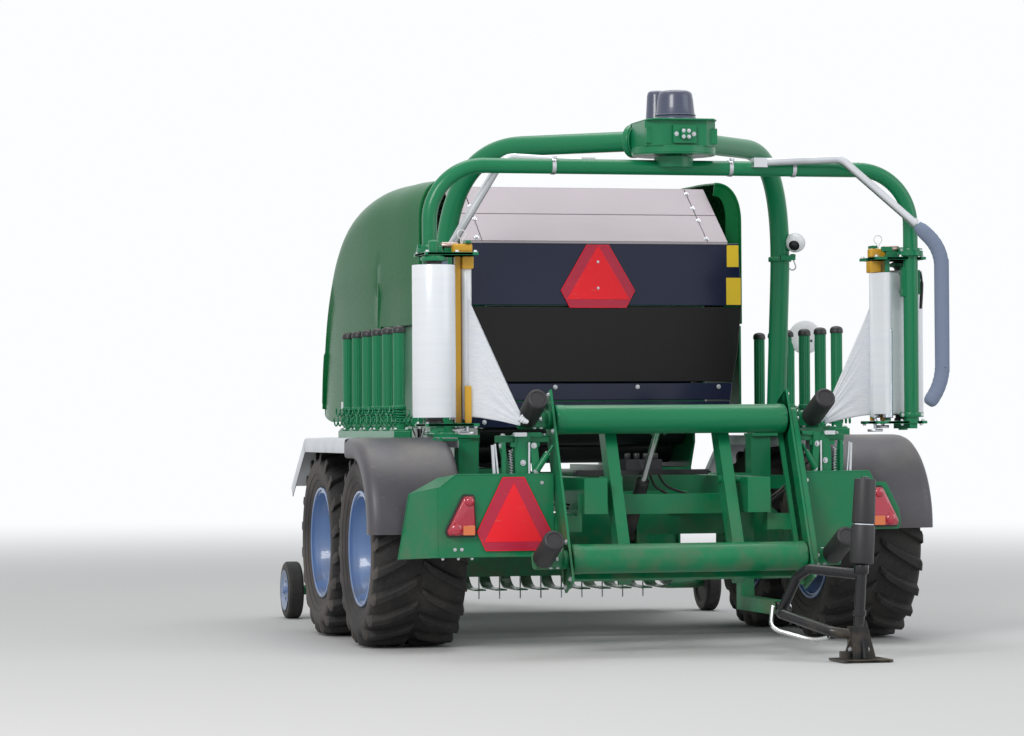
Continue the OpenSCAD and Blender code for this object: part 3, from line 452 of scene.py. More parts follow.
def oblong(x0, y0, x1, y1):
    """The outline of a rectangle from one corner to the opposite one."""
    return [(x0, y0), (x1, y0), (x1, y1), (x0, y1)]


def plate(outline, low, high, axis="x", edge=1.5):
    """A flat outline made thick along an axis from low to high, its rims broken by edge."""
    outline = np.asarray(outline, float)
    inner = inset(outline, edge)
    rings = np.stack([np.column_stack([line, np.full(len(line), place)]) for line, place in
                      ((inner, low), (outline, low + edge), (outline, high - edge), (inner, high))])
    return loft(rings[..., {"x": [2, 0, 1], "y": [0, 2, 1], "z": [0, 1, 2]}[axis]])


def bar(low, high, edge=2.0):
    """A straight bar or plate between two corners, its long edges broken."""
    (x0, y0, z0), (x1, y1, z1) = low, high
    sizes = [x1 - x0, y1 - y0, z1 - z0]
    edge = min(edge, 0.3 * min(sizes))
    if sizes[0] == max(sizes):
        return plate(oblong(y0, z0, y1, z1), x0, x1, "x", edge)
    if sizes[1] == max(sizes):
        return plate(oblong(x0, z0, x1, z1), y0, y1, "y", edge)
    return plate(oblong(x0, y0, x1, y1), z0, z1, "z", edge)


def rod(radius, low, high, foot, way, steps):
    """A plain round bar from low to high along way, counted from foot."""
    return turned([(0, low), (radius, low), (radius, high), (0, high)], foot, way, steps)


def stud(radius, shoulder, top, height, foot, way, steps):
    """A round boss: straight up to its shoulder, then a cone in to its flat top."""
    return turned([(0, 0), (radius, 0), (radius, shoulder), (top, height), (0, height)], foot, way, steps)


def bolts(spots, way, size=16.0):
    """Hexagon heads on round washers that stand on each spot along way; size is across the head."""
    half = size * 0.55
    head = stud(half, half * 0.95, half * 0.8, half * 1.15, (0, 0, 0), way, 6)
    washer = rod(half * 1.5, 0, half * 0.28, (0, 0, 0), way, 14)
    return copied(joined(head, washer), spots)


rear_way = np.concatenate([[(318, 598)], arc((788, 612), 470, 180, 90, 25), [(860, 1082), (971, 1082)]])
front_way = np.array([(2534, 812), (2500, 838), (2150, 1070), (2138, 1078), (2120, 1082), (1700, 1082), (1300, 1082),
                      (985, 1082)])[::-1]
plastic_section = [(1499, 96), (1507, 92), (1510, 84), (1510, 45), (1506, 24), (1495, 10), (1478, 3), (1455, 0),
                   (1330, 0), (1200, 0), (1100, 0), (1066, 2), (1046, 8), (1034, 20), (1030, 38), (1030, 70)]
steel_section = [(1508, 74), (1509, 70), (1509, 12), (1506, 4), (1500, 1), (1380, 0), (1200, 0), (1000, 0), (912, 1),
                 (906, 4), (903, 12), (903, 50)]
quarter, sheet_part = arched(rear_way, plastic_section, 6), arched(front_way, steel_section, 4)
for side, hand in sides:
    hung(f"fender_quarter_{hand}", [mirrored(quarter, (side, 1, 1))], fender_grey, "chassis", 50,
         ["fenders"] if side < 0 else ())
    hung(f"fender_sheet_{hand}", [mirrored(sheet_part, (side, 1, 1))], zinc, "chassis", 25)

# Fender straps: flat steel bars from the outriggers across each plastic fender, in the frame's green
# paint, with two screws apiece.
strap_rows, screw_columns = (700, 930), (1060, 1095)
fender_strap = joined(*[bar((902, y - 30, 1070), (1110, y + 30, 1078), 2) for y in strap_rows])
strap_screws = bolts([(x, y, 1078) for x in screw_columns for y in strap_rows], (0, 0, 1), 14)
hung("fender_straps", [both(fender_strap, strap_screws)], green)


# Spare film racks: on each fender a rail with six sprung spindles. A spindle is a fluted steel tube
# in green paint with a black plastic cap; it stands on a coil spring and a pressed foot.
def eased(outline, radius, steps=4):
    """The closed outline with each corner replaced by a curve from radius before it to radius after."""
    outline = np.asarray(outline, float)
    before, after = np.roll(outline, 1, axis=0) - outline, np.roll(outline, -1, axis=0) - outline
    shorter = np.minimum(np.linalg.norm(before, axis=1), np.linalg.norm(after, axis=1))
    limit = np.minimum(radius, 0.45 * shorter)[:, None]
    start, stop = outline + unit(before) * limit, outline + unit(after) * limit
    t = np.linspace(0, 1, steps)[None, :, None]
    a, b, c = (1 - t) ** 2, 2 * t * (1 - t), t ** 2
    return (a * start[:, None] + b * outline[:, None] + c * stop[:, None]).reshape(-1, 2)


def tube(path, radius, sides=14):
    """Rings of points round a path: p + r (cos a across + sin a over), square to its direction."""
    path = np.asarray(path, float)
    ahead = unit(np.gradient(path, axis=0))
    across, over = square_to(ahead)
    angle = np.linspace(0, 2 * np.pi, sides, endpoint=False)[None, :, None]
    radius = np.broadcast_to(radius, len(path))[:, None, None]
    return loft(path[:, None] + radius * (np.cos(angle) * across[:, None] + np.sin(angle) * over[:, None]))


def coil(foot, way, radius, wire, turns, length, sides=7):
    """A coil spring: a tube along foot + way h + radius (cos a, sin a), a and h growing together."""
    t = np.linspace(0, 1, int(turns * 12) + 1)
    across, over = square_to(unit(way))
    angle = (2 * np.pi * turns * t)[:, None]
    return tube(np.asarray(foot, float) + unit(way) * (length * t)[:, None]
                + radius * (np.cos(angle) * across + np.sin(angle) * over), wire, sides)


def fluted(foot, radius, low, high, flutes=12, depth=2.5):
    """A tube along Z whose radius waves by depth with the angle."""
    angle = np.linspace(0, 2 * np.pi, flutes * 4, endpoint=False)
    wave = radius - depth * (np.cos(angle * flutes) < -0.3)
    height = np.array([low, high])
    ring = np.stack([wave * np.cos(angle), wave * np.sin(angle)], axis=-1)
    rings = np.concatenate([np.broadcast_to(ring, (2, *ring.shape)),
                            np.broadcast_to(height[:, None, None], (2, len(angle), 1))], axis=-1)
    return loft(rings + np.asarray(foot, float))


black_plastic = moulded("black_cap_plastic", (0.016, 0.016, 0.018), 0.42, 0.10, 0.10)
rack_x, rack_first, rack_step = 1215, 1000, 270
rack_spots = [(rack_x, rack_first + i * rack_step, 0) for i in range(6)]
spindle_collar = [(34, 1236), (36, 1240), (36, 1252), (32, 1256), (20, 1256), (20, 1236)]
spindle = joined(fluted((0, 0, 0), 31.5, 1250, 1642), turned(spindle_collar, (0, 0, 0), (0, 0, 1), 24))
spring_seat = [(14, 1131), (30, 1131), (31, 1150), (26, 1158), (14, 1158)]
spring_drum = [(0, 0), (26, 0), (29, 4), (29, 44), (26, 48), (0, 48)]
foot_plate = joined(plate(eased(oblong(-44, -60, 44, 60), 16), 1123, 1131, "z"),
                    turned(spring_seat, (0, 0, 0), (0, 0, 1), 20), bar((-88, -14, 1150), (-40, 14, 1160)),
                    turned(spring_drum, (-88, -24, 1168), (0, 1, 0), 22),
                    plate(eased([(-100, 1140), (-76, 1140), (-72, 1200), (-104, 1200)], 8), -30, -24, "y"))
spring = coil((0, 0, 1150), (0, 0, 1), 27, 5.5, 6.5, 88)
cap = turned([(0, 1678), (12, 1677), (28, 1671), (35, 1660), (36, 1648), (36, 1640), (33, 1638), (0, 1638)],
             (0, 0, 0), (0, 0, 1), 28)
cross_spring = joined(coil((-92, 0, 1172), (1, 0, 0), 22, 4.5, 8, 176),
                      coil((-78, 10, 1209), (1, 0, 0.12), 20, 4.5, 7, 150))
rail_start, rail_end = rack_first - 80, rack_first + 5 * rack_step + 80
rail = joined(bar((rack_x - 45, rail_start, 1084), (rack_x + 45, rail_end, 1123), 3),
              plate(eased(oblong(rail_start, 1084, rail_end, 1134), 6), rack_x - 52, rack_x - 46, "x"))
hung("rack_spindles", [both(copied(joined(spindle, foot_plate), rack_spots), rail)], green, "chassis", 32,
     ["roll_racks"])
hung("rack_caps", [both(copied(cap, rack_spots))], black_plastic)
hung("rack_springs", [both(copied(joined(spring, cross_spring), rack_spots))], green)
rack_screws = [(rack_x + dx, rack_first + i * rack_step + dy, 1131) for i in range(6) for dx in (-30, 30)
               for dy in (-46, 46)]
hung("rack_bolts", [both(bolts(rack_screws, (0, 0, 1), 13))], zinc)


# Light boards: pressed sheet with flanges along top and foot. The left one is folded forward at its
# outer end and bears a warning plate; the right one is a smaller flat plate round its lamp. Each
# carries a sloping lamp of clear red plastic with an amber part, in a black frame.
def folded(columns, thick):
    """A sheet standing on edge along columns of (x, y, low z, high z); thick counts forward."""
    columns = np.asarray(columns, float)
    run = unit(np.gradient(columns[:, :2], axis=0))
    side = np.stack([-run[:, 1], run[:, 0]], axis=-1) * thick
    back = columns[:, :2] + side * np.where(side[:, 1:] < 0, -1, 1)
    rings = np.stack([np.column_stack([columns[:, :2], columns[:, 2]]),
                      np.column_stack([columns[:, :2], columns[:, 3]]), np.column_stack([back, columns[:, 3]]),
                      np.column_stack([back, columns[:, 2]])], axis=1)
    return loft(rings)


board_columns = [(640, 0, 500, 905), (900, 0, 495, 905), (1143, 0, 490, 905), (1217, 0, 490, 849),
                 (1229, 1, 490, 843), (1236, 4, 490, 840), (1241, 10, 489, 838), (1300, 137, 484, 818),
                 (1336, 213, 479, 806), (1356, 257, 475, 640), (1376, 300, 472, 476)]
cover_top = np.array([(1337, 216, 806), (1219, 1, 845), (1134, 1, 906), (1190, 200, 886)], float)
board = joined(folded(board_columns, 6), loft(np.stack([cover_top, cover_top - [0, 0, 5]])),
               folded([(640, 4, 897, 905), (1143, 4, 897, 905)], 26),
               folded([(640, 4, 490, 498), (1230, 4, 490, 498)], 26),
               tube([(640, 3, 902), (1143, 3, 902), (1143.5, 3, 901.5), (1216, 3, 846)], 5, 10),
               tube([(1238, 6, 494), (1238, 6, 838)], 5, 10),
               tube([(640, 3, 494), (1238, 5, 494), (1374, 298, 477)], 5, 10),
               tube([(1374, 298, 478), (1336, 213, 804)], 4, 8))
right_outline = [(640, 500), (1000, 500), (1036, 604), (1198, 604), (1209, 636), (1200, 705), (1128, 848),
                 (1068, 848), (1040, 905), (640, 905)]
right_board = joined(plate(eased(np.array(right_outline, float), 8), 0, 6, "y", 2),
                     folded([(640, 4, 897, 905), (1036, 4, 897, 905)], 26),
                     folded([(640, 4, 500, 508), (996, 4, 500, 508)], 26),
                     tube([(640, 3, 902), (1034, 3, 902)], 5, 10), tube([(640, 3, 504), (994, 3, 504)], 5, 10))
lamp_rise = (-8, 0, 24)


def left_and_right(*parts):
    """The parts mirrored to the left, and on the right shifted to the smaller board's lamp."""
    whole = joined(*parts)
    return joined(mirrored(whole), copied(whole, [lamp_rise]))


lamp_red = moulded("lamp_lens_red", (0.46, 0.006, 0.035), 0.12, 0.03, 0.02, 0.5, 1.0)
lamp_amber = moulded("lamp_lens_amber", (0.75, 0.16, 0.02), 0.15, 0.03, 0.05, 0.9, 1.0)
hung("board_sheets", [mirrored(board), right_board], green, "chassis", 30, ["light_boards"])
hung("board_bolts", [both(bolts([(700, -1, 560), (700, -1, 860)], (0, -1, 0), 11)),
                     mirrored(joined(bolts([(1115, -1, 530), (1150, -1, 530)], (0, -1, 0), 11),
                                     bolts([(x, 12, 484) for x in (1060, 1130, 1210)], (0, -1, 0), 9)))], zinc)
lamp_outline = np.array([(1040, 592), (1195, 592), (1203, 625), (1112, 805), (1050, 805)], float)


def domed(outline, foot, lift):
    """A lens: rings that shrink towards the middle by 1 - cos of 0 to 75 degrees while they rise by
    the sine."""
    outline = eased(outline, 14, 5)
    middle = outline.mean(axis=0)
    widest = math.radians(75)
    angle = np.linspace(0, widest, 5)
    shrink = 1 - 0.16 * (1 - np.cos(angle)) / (1 - math.cos(widest))
    rings = [np.column_stack([outline, np.full(len(outline), foot)])]
    for k, a in zip(shrink, angle):
        height = foot + lift * (0.55 + 0.45 * math.sin(a))
        rings.append(np.column_stack([middle + (outline - middle) * k, np.full(len(outline), height)]))
    return loft(np.stack(rings)[..., [0, 2, 1]])


def bulb(x, z, r):
    """A round bulge of the lens: a low dome of radius r turned about its own axis along Y."""
    dome = [(0, 12), (r * 0.5, 11), (r * 0.85, 7), (r, 0), (r, -8), (0, -8)]
    return turned(dome, (x, -42, z), (0, -1, 0), 28)


lens = joined(domed(inset(lamp_outline, 9), -8, -34), bulb(1150, 632, 32), bulb(1082, 770, 25))
hung("lamp_lenses", [left_and_right(lens)], lamp_red, "chassis", 50, ["tail_lamps"])
hung("lamp_frames", [left_and_right(plate(eased(lamp_outline, 14), -12, -1, "y", 3))], black_plastic)
amber_part = np.array(oblong(1056, 602, 1116, 650), float)
hung("lamp_amber_parts", [left_and_right(plate(eased(amber_part, 5), -44.5, -38, "y", 1.5))], lamp_amber)

# Warning plates for slow vehicles: a sheet with its three corners cut, bright red film in the
# middle and a deep red reflecting border; plain yellow plates; round-headed fixings.
signal_red = moulded("signal_red_film", (1.0, 0.006, 0.018), 0.38, 0.02, 0.0, 0.3, 0.0)
signal_border = moulded("reflecting_border_film", (0.50, 0.008, 0.045), 0.30, 0.35, 0.0, 0.3, 0.1)
plate_yellow = moulded("blank_yellow_plate", (0.80, 0.55, 0.02), 0.35, 0.02, 0.06, 0.3, 0.2)


def cut_corners(x, low, high, wide, foot_wide, cut, top_wide):
    """A triangle's outline with its three corners cut off, in x and z."""
    return np.array([(x - foot_wide / 2, low), (x + foot_wide / 2, low), (x + wide / 2, low + cut),
                     (x + top_wide / 2, high), (x - top_wide / 2, high), (x - wide / 2, low + cut)], float)


def warning_plate(name, outline, inner, y, body):
    """The border plate with a bright rim, and the red triangle on it."""
    hung(name + "_border", [plate(outline, y - 5, y - 0.5, "y", 1)], signal_border, body)
    hung(name + "_middle", [plate(inner, y - 6.5, y - 4, "y", 0.6)], signal_red, body)
    rim = inset(outline, 3)
    ring = np.concatenate([rim, rim[:1]])
    edges = [tube([(a[0], y - 5, a[1]), (b[0], y - 5, b[1])], 1.6, 6) for a, b in zip(ring[:-1], ring[1:])]
    hung(name + "_rim", edges, signal_red, body)


gate_sign = cut_corners(10, 1789, 2136, 424, 322, 96, 128)
gate_sign_inner = np.array([(-166, 1836), (190, 1836), (12, 2132)], float)
board_sign = np.array([(-1040, 616), (-994, 520), (-720, 520), (-655, 616), (-792, 890), (-905, 890)], float)
board_sign_inner = np.array([(-1000, 566), (-700, 566), (-848, 860)], float)
warning_plate("board_sign", board_sign, board_sign_inner, -6, "chassis")


# Chamber covers: two large moulded doors with a hemmed rim, a hood between them, and the tailgate's
# lacquered panels below folded mauve roof sheets. All are bolted on with wide joints between them.
def flowing(points, count):
    """A smooth curve through the points, or through rows of them: Catmull-Rom spans of a cubic in t."""
    points = np.asarray(points, float)
    flat = points.reshape(len(points), -1)
    padded = np.concatenate([2 * flat[:1] - flat[1:2], flat, 2 * flat[-1:] - flat[-2:-1]])
    place = np.linspace(0, len(flat) - 1, count)
    span = np.minimum(place.astype(int), len(flat) - 2)
    t = (place - span)[:, None]
    a, b, c, d = (padded[span + k] for k in range(4))
    curve = 0.5 * (2 * b + (c - a) * t + (2 * a - 5 * b + 4 * c - d) * t ** 2 + (3 * b - a - 3 * c + d) * t ** 3)
    return curve.reshape(count, *points.shape[1:])


door_green = enamel("door_gelcoat", (0.002, 0.125, 0.033), 0.24, 0.0, 0.01, 0.5, 0.12)
mauve = enamel("mauve_satin_paint", (0.44, 0.395, 0.425), 0.45, 0.0, 0.05)
black_gloss = enamel("black_panel_lacquer", (0.010, 0.015, 0.046), 0.10, 0.0, 0.02, 0.5, 0.35)
black_flat = enamel("black_panel_plain", (0.006, 0.005, 0.006), 0.30, 0.0, 0.06)
stations_count, across_count, roundness, roof_edge, door_wall = 61, 16, 0.85, 775, 9
stations = flowing([(1785, 928, 2503), (2000, 968, 2511), (2200, 1000, 2514), (2600, 1060, 2508), (2950, 1098, 2438),
                    (3200, 1118, 2288), (3400, 1126, 2040), (3550, 1122, 1740), (3690, 1106, 1442)],
                   stations_count)
door_y, door_side, door_top = stations.T
low_edge = np.interp(door_y, [1785, 2405, 2440, 3400, 3690], [1712, 1712, 1182, 1182, 1215])
shoulder = np.minimum(230.0, door_top - low_edge - 40)
quarter_turn = np.linspace(0, math.pi / 2, across_count)
crown_x = roof_edge + (door_side - roof_edge)[:, None] * np.sin(quarter_turn)[None] ** roundness
crown_z = (door_top - shoulder)[:, None] + shoulder[:, None] * np.cos(quarter_turn)[None] ** roundness
fall = np.linspace(0.06, 1, across_count)[None]
fall_z = (door_top - shoulder)[:, None] + (low_edge - door_top + shoulder)[:, None] * fall
pinch = np.clip((1990 - fall_z) / 120, 0, 1)
draw_in = 16 * pinch ** 2 * (3 - 2 * pinch) * np.clip((door_y - 1785) / 500, 0, 1)[:, None]
fall_x = door_side[:, None] - draw_in
outer = np.stack([np.concatenate([crown_x, fall_x], axis=1),
                  np.broadcast_to(door_y[:, None], (stations_count, 2 * across_count)),
                  np.concatenate([crown_z, fall_z], axis=1)], axis=-1)
towards = unit(np.cross(np.gradient(outer, axis=0), np.gradient(outer, axis=1)))
towards *= np.where(np.sum(towards * (outer - [700, 2600, 1700]), axis=-1, keepdims=True) > 0, -1, 1)
inner_skin = outer + door_wall * towards
door_loop = np.concatenate([outer, inner_skin[:, ::-1]], axis=1)
hem = joined(tube((outer[0] + inner_skin[0]) / 2 + [0, 2, 0], 7.5, 10),
             tube(((outer + inner_skin) / 2)[3:, -1], 7.5, 10), tube((outer[-1] + inner_skin[-1]) / 2, 7.5, 10))
inward = unit(towards[0] * [1, 0, 1])
door_return = outer[0] + np.linspace(70, 96, 2 * across_count)[:, None] * inward + [0, 26, 0]
rear_face = loft(np.stack([outer[0] + [0, 1, 0], door_return, door_return + [0, 6, 0], outer[0] + [0, 8, 0]], axis=1))
door_part = joined(loft(door_loop), hem, rear_face)
handle = joined(bar((1112, 2900, 1250), (1122, 3040, 1290), 3),
                stud(16, 6, 11, 12, (1120, 2930, 1270), (1, 0, 0), 20))
for side, hand in sides:
    hung(f"door_shell_{hand}", [mirrored(door_part, (side, 1, 1))], door_green, f"{hand}_door", 50, [f"door_{hand}"])
    hung(f"door_catch_{hand}", [mirrored(handle, (side, 1, 1))], zinc, f"{hand}_door")
fixing_rows = ((1356, (-700, -234, 234, 700)), (1166, (-634, 0, 634)))
panel_fixings = [(x, 1499, z) for z, row in fixing_rows for x in row]
gate_rows = [(1136, 1276), (1284, 1376), (1384, 1796), (1804, 2148)]


def tray(low, high, y=1500, deep=118):
    """A shallow pressed panel: a face plate whose sides bow out to their widest at z 1810, with round
    corners and side flanges turned forward."""
    z = np.linspace(low, high, 9)
    side = np.interp(z, [1136, 1380, 1550, 1810, 2148], [748, 782, 812, 838, 820])
    outline = np.concatenate([np.column_stack([-side, z])[::-1], np.column_stack([side, z])])
    wide = side.min()
    face = plate(outline, y, y + 9, "y", 3)
    middles = (side[:-1] + side[1:]) / 2 - 4
    flange = both(*[folded([(a, y + 5, b, c), (a, y + deep, b, c)], 5) for a, b, c in zip(middles, z[:-1], z[1:])])
    lips = [bar((-wide + 6, y + 4, z), (wide - 6, y + 30, z + 4), 1) for z in (low + 2, high - 6)]
    return joined(face, flange, *lips)


hung("gate_panel_upper", [tray(*gate_rows[3])], black_gloss, "tailgate", 30, ["gate_skins"])
hung("gate_panel_middle", [tray(*gate_rows[2])], black_flat, "tailgate", 30)
hung("gate_panels_lower", [tray(*gate_rows[1]), tray(*gate_rows[0])], black_gloss, "tailgate", 30)
hung("gate_panel_bolts", [bolts(panel_fixings, (0, -1, 0), 15)], zinc, "tailgate")
warning_plate("gate_sign", gate_sign, gate_sign_inner, 1497, "tailgate")
hung("gate_sign_rivets", [bolts([(10, 1490, 1898), (10, 1490, 2042)], (0, -1, 0), 9)], zinc, "tailgate")
hung("gate_plates", [plate(eased(oblong(752, 2018, 820, 2138), 4), 1497, 1499.5, "y", 0.6),
                     plate(eased(oblong(748, 1808, 832, 1958), 4), 1497, 1499.5, "y", 0.6)],
     plate_yellow, "tailgate")


def roof_sheet(x0, x1, start, stop, lift):
    """A flat sheet, lift thick, between two points of the roof's line in y and z."""
    start, stop = np.array(start, float), np.array(stop, float)
    run = unit(stop - start)
    out = np.array([-run[1], run[0]]) * lift
    return plate(np.array([start, stop, stop + out, start + out]), x0, x1, "x", 1.2)


roof_line = [(1500, 2152), (1720, 2309), (1726, 2314), (1790, 2359), (1950, 2472), (2378, 2474)]
hung("roof_sheets", [both(roof_sheet(644, 757, roof_line[0], roof_line[1], 6),
                          roof_sheet(645, 757, roof_line[2], roof_line[4], 6),
                          bar((750, 1510, 2120), (757, 1540, 2156), 1)),
                     roof_sheet(-640, 640, roof_line[0], roof_line[1], 6),
                     roof_sheet(-640, 640, roof_line[2], roof_line[4], 6),
                     roof_sheet(-757, 757, (1952, 2474), roof_line[5], 5),
                     bar((-757, 1497, 2143), (757, 1503, 2153), 1.5)], mauve, "tailgate", 30, ["gate_top"])
seam = both(plate(np.array([(1500, 2146), (1950, 2466), (1950, 2470), (1500, 2150)]), 640, 644, "x", 0.5))
cross_joint = plate(np.array([(1719, 2306), (1728, 2312), (1727, 2314), (1718, 2308)]), -757, 757, "x", 0.3)
hung("roof_joints", [seam, cross_joint], black_flat, "tailgate")


def along_roof(t, x):
    """A point of the sloping roof sheet: t runs from 0 at its rear edge to 1 at the joint."""
    return np.array([x, 1500 + 286 * t, 2160 + 204 * t])


roof_spots = [(0.06, -668), (0.06, 640)] + [(t, x) for x in (-642, 642) for t in (0.60, 0.97, 1.4)]
hung("roof_bolts", [bolts([along_roof(t, x) for t, x in roof_spots], (0, -0.58, 0.81), 17)], zinc, "tailgate")
hood_line = np.array([(2384, 2478), (2470, 2475), (2700, 2464), (2950, 2445), (3080, 2375), (3200, 2294),
                      (3300, 2178), (3400, 2043), (3480, 1895), (3550, 1742), (3620, 1592), (3690, 1442)], float)
hood_rows, hood_thick = 45, 8
hood_line = flowing(hood_line, hood_rows)
hood_run = unit(np.gradient(hood_line, axis=0))
hood_out = np.stack([-hood_run[:, 1], hood_run[:, 0]], axis=-1)
across_hood = np.array([-773, -768, -760, -300, -296, -290, -284, -280, 0, 280, 284, 290, 296, 300, 760, 768, 773],
                       float)
press = np.array([-6, -1, 0, 0, -2, -5, -2, 0, 0, 0, -2, -5, -2, 0, 0, -1, -6], float)
hood_yz = hood_line[:, None] + hood_out[:, None] * press[None, :, None]
hood_top = np.concatenate([np.broadcast_to(across_hood[None, :, None], (hood_rows, len(press), 1)), hood_yz], axis=-1)
hood_depth = np.concatenate([np.zeros((hood_rows, 1, 1)), hood_out[:, None] * hood_thick], axis=-1)
hood_under = hood_top[:, ::-1] - hood_depth
hung("hood_sheet", [loft(np.concatenate([hood_top, hood_under], axis=1))], mauve, "chassis", 35, ["front_hood"])


# Arch and slewing gear: bent steel tubes in green paint, flanged and bolted to the gear's housing.
# Two plastic caps cover the motor and the hose joint; hoses run up the left leg under clips.
def bent(corners, radius, steps=10, after=None):
    """A way through the corners, each inner one rounded by a quadratic curve that starts radius
    before it and ends after (or radius again) past it."""
    corners = np.asarray(corners, float)
    ways = [corners[:1]]
    for a, b, c in zip(corners[:-2], corners[1:-1], corners[2:]):
        start, stop = b + unit(a - b) * radius, b + unit(c - b) * (after or radius)
        t = np.linspace(0, 1, steps)[:, None]
        ways.append((1 - t) ** 2 * start + 2 * t * (1 - t) * b + t ** 2 * stop)
    return np.concatenate([*ways, corners[-1:]])


slate = moulded("cap_plastic", (0.055, 0.066, 0.12), 0.30, 0.05, 0.2, 0.9, 0.3)
hose_rubber = moulded("hose_rubber", (0.014, 0.014, 0.015), 0.5, 0.25, 0.15)
arch_way = unit([930, 1160, 0])
flange_at = arch_way * 240 + [0, 0, 2598]
flange_angle = np.arange(8)[:, None] * math.pi / 4 + 0.39
flange_side = np.cross([0, 0, 1], arch_way)
flange_spots = (flange_at + arch_way * 20 + 62 * np.cos(flange_angle) * flange_side
                + 62 * np.sin(flange_angle) * np.array([0, 0, 1]))
flange_bolts = bolts(flange_spots, arch_way, 17)


def collar(x, y, z, r, h):
    """An upright ring of height h on a tube of radius r, its outer edges broken by 3 mm."""
    section = [(r, 0), (r + 9, 0), (r + 11, 3), (r + 11, h - 3), (r + 9, h), (r, h)]
    return turned(section, (x, y, z), (0, 0, 1), 40, closed=True)


arch_path = bent([(930, 1200, 1098), (945, 1080, 2615), flange_at + arch_way * 8],
                 radius=700, steps=30, after=500)
hung("arch_tubes", [both(tube(arch_path, 52, 48))], green, "chassis", 40, ["arch"])
hung("arch_flanges", [both(turned([(56, -8), (84, -8), (86, -4), (86, 20), (84, 24), (56, 24)],
                                  flange_at - arch_way * 2, arch_way, 48, closed=True),
                           collar(930, 1200, 1098, 52, 16),
                           plate(eased(oblong(820, 1090, 1040, 1265), 14), 1098, 1106, "z", 2),
                           *[bar((930 + s * 57 - 4, 1194, 1104), (930 + s * 57 + 4, 1206, 1230), 2)
                             for s in (-1, 1)])], green)
hung("arch_bolts", [both(flange_bolts,
                         bolts([(x, y, 1106) for x in (840, 1020) for y in (1105, 1215)], (0, 0, 1), 20))], zinc)
cap_steps = [(0, 158), (40, 157), (66, 153), (80, 146), (86, 134), (90, 110), (100, 24), (103, 20), (107, 12),
             (108, 2), (104, 0), (0, 0)]
small_cap = [(0, 170), (26, 169), (40, 165), (47, 156), (50, 140), (57, 20), (60, 12), (60, 0), (0, 0)]
cap_bead = [(101.5, 26), (104, 27), (105, 30), (103, 32), (100.5, 32)]
hung("motor_cap_large", [turned(cap_steps, (-7, -60, 2680), (0, 0, 1), 72),
                         turned(cap_bead, (-7, -60, 2680), (0, 0, 1), 72, closed=True)],
     slate, "chassis", 40, ["motor_caps"])
hung("motor_cap_small", [turned(small_cap, (-55, 108, 2680), (0, 0, 1), 56)], slate, "chassis", 40)
lug_ring = [(185 * math.cos(a), 185 * math.sin(a)) for a in np.radians([20, 60, 120, 160, 200, 240, 300, 340])]
lid_outline = [(-150, -215), (150, -215), (185, -150), (185, 150), (150, 215), (-150, 215), (-185, 150), (-185, -150)]
foot_ring = [(150, 0), (205, 0), (213, 4), (213, 30), (205, 34), (150, 34)]
hung("housing_details", [*[stud(15, 34, 11, 38, (x * 0.98, y * 0.98, 2548), (0, 0, 1), 18) for x, y in lug_ring],
                         both(bar((120, -150, 2560), (186, -132, 2640), 3),
                              bar((120, 132, 2560), (186, 150, 2640), 3)),
                         plate(eased(lid_outline, 12), 2676, 2684, "z", 2),
                         bar((-60, -206, 2560), (60, -186, 2650), 3), bar((-24, -226, 2580), (24, -204, 2630), 3),
                         turned(foot_ring, (0, 0, 2513), (0, 0, 1), 72, closed=True)], green)
hung("housing_bolts", [bolts([(x * 0.98, y * 0.98, 2586) for x, y in lug_ring], (0, 0, 1), 18),
                       bolts([(x, -227, z) for x in (-14, 14) for z in (2590, 2620)], (0, -1, 0), 12),
                       bolts([(x, -207, 2605) for x in (-45, 45)], (0, -1, 0), 14)], zinc)


def leg_y(z):
    """Where the leaning arch leg stands at height z: 120 mm back over its 1517 mm of height."""
    return 1200 - (z - 1098) * 120 / 1517


leg_hoses = [tube(bent([(-930 + dx, leg_y(1130) + 63 + dy, 1130), (-937 + dx, leg_y(1900) + 63 + dy, 1900),
                        (-937 + dx, leg_y(1960) + 30, 1965)], 60), 9, 10) for dx, dy in ((-22, 0), (0, 6), (22, 0))]


def clip(z):
    """A band round the leg at height z, with a bar across the hoses on two short arms."""
    band = turned(oblong(52.5, 0, 55, 22), (-930 - (z - 1098) / 101, leg_y(z), z), (0, 0, 1), 40, closed=True)
    arms = [bar((-930 + s * 34 - 4, leg_y(z) + 42, z), (-930 + s * 34 + 4, leg_y(z) + 76, z + 22), 1)
            for s in (-1, 1)]
    return joined(band, bar((-966, leg_y(z) + 74, z - 2), (-894, leg_y(z) + 86, z + 24), 3), *arms)


clips = [clip(z) for z in (1300, 1600, 1850)]
hung("leg_hoses", leg_hoses, hose_rubber)
hung("leg_clips", clips, zinc)

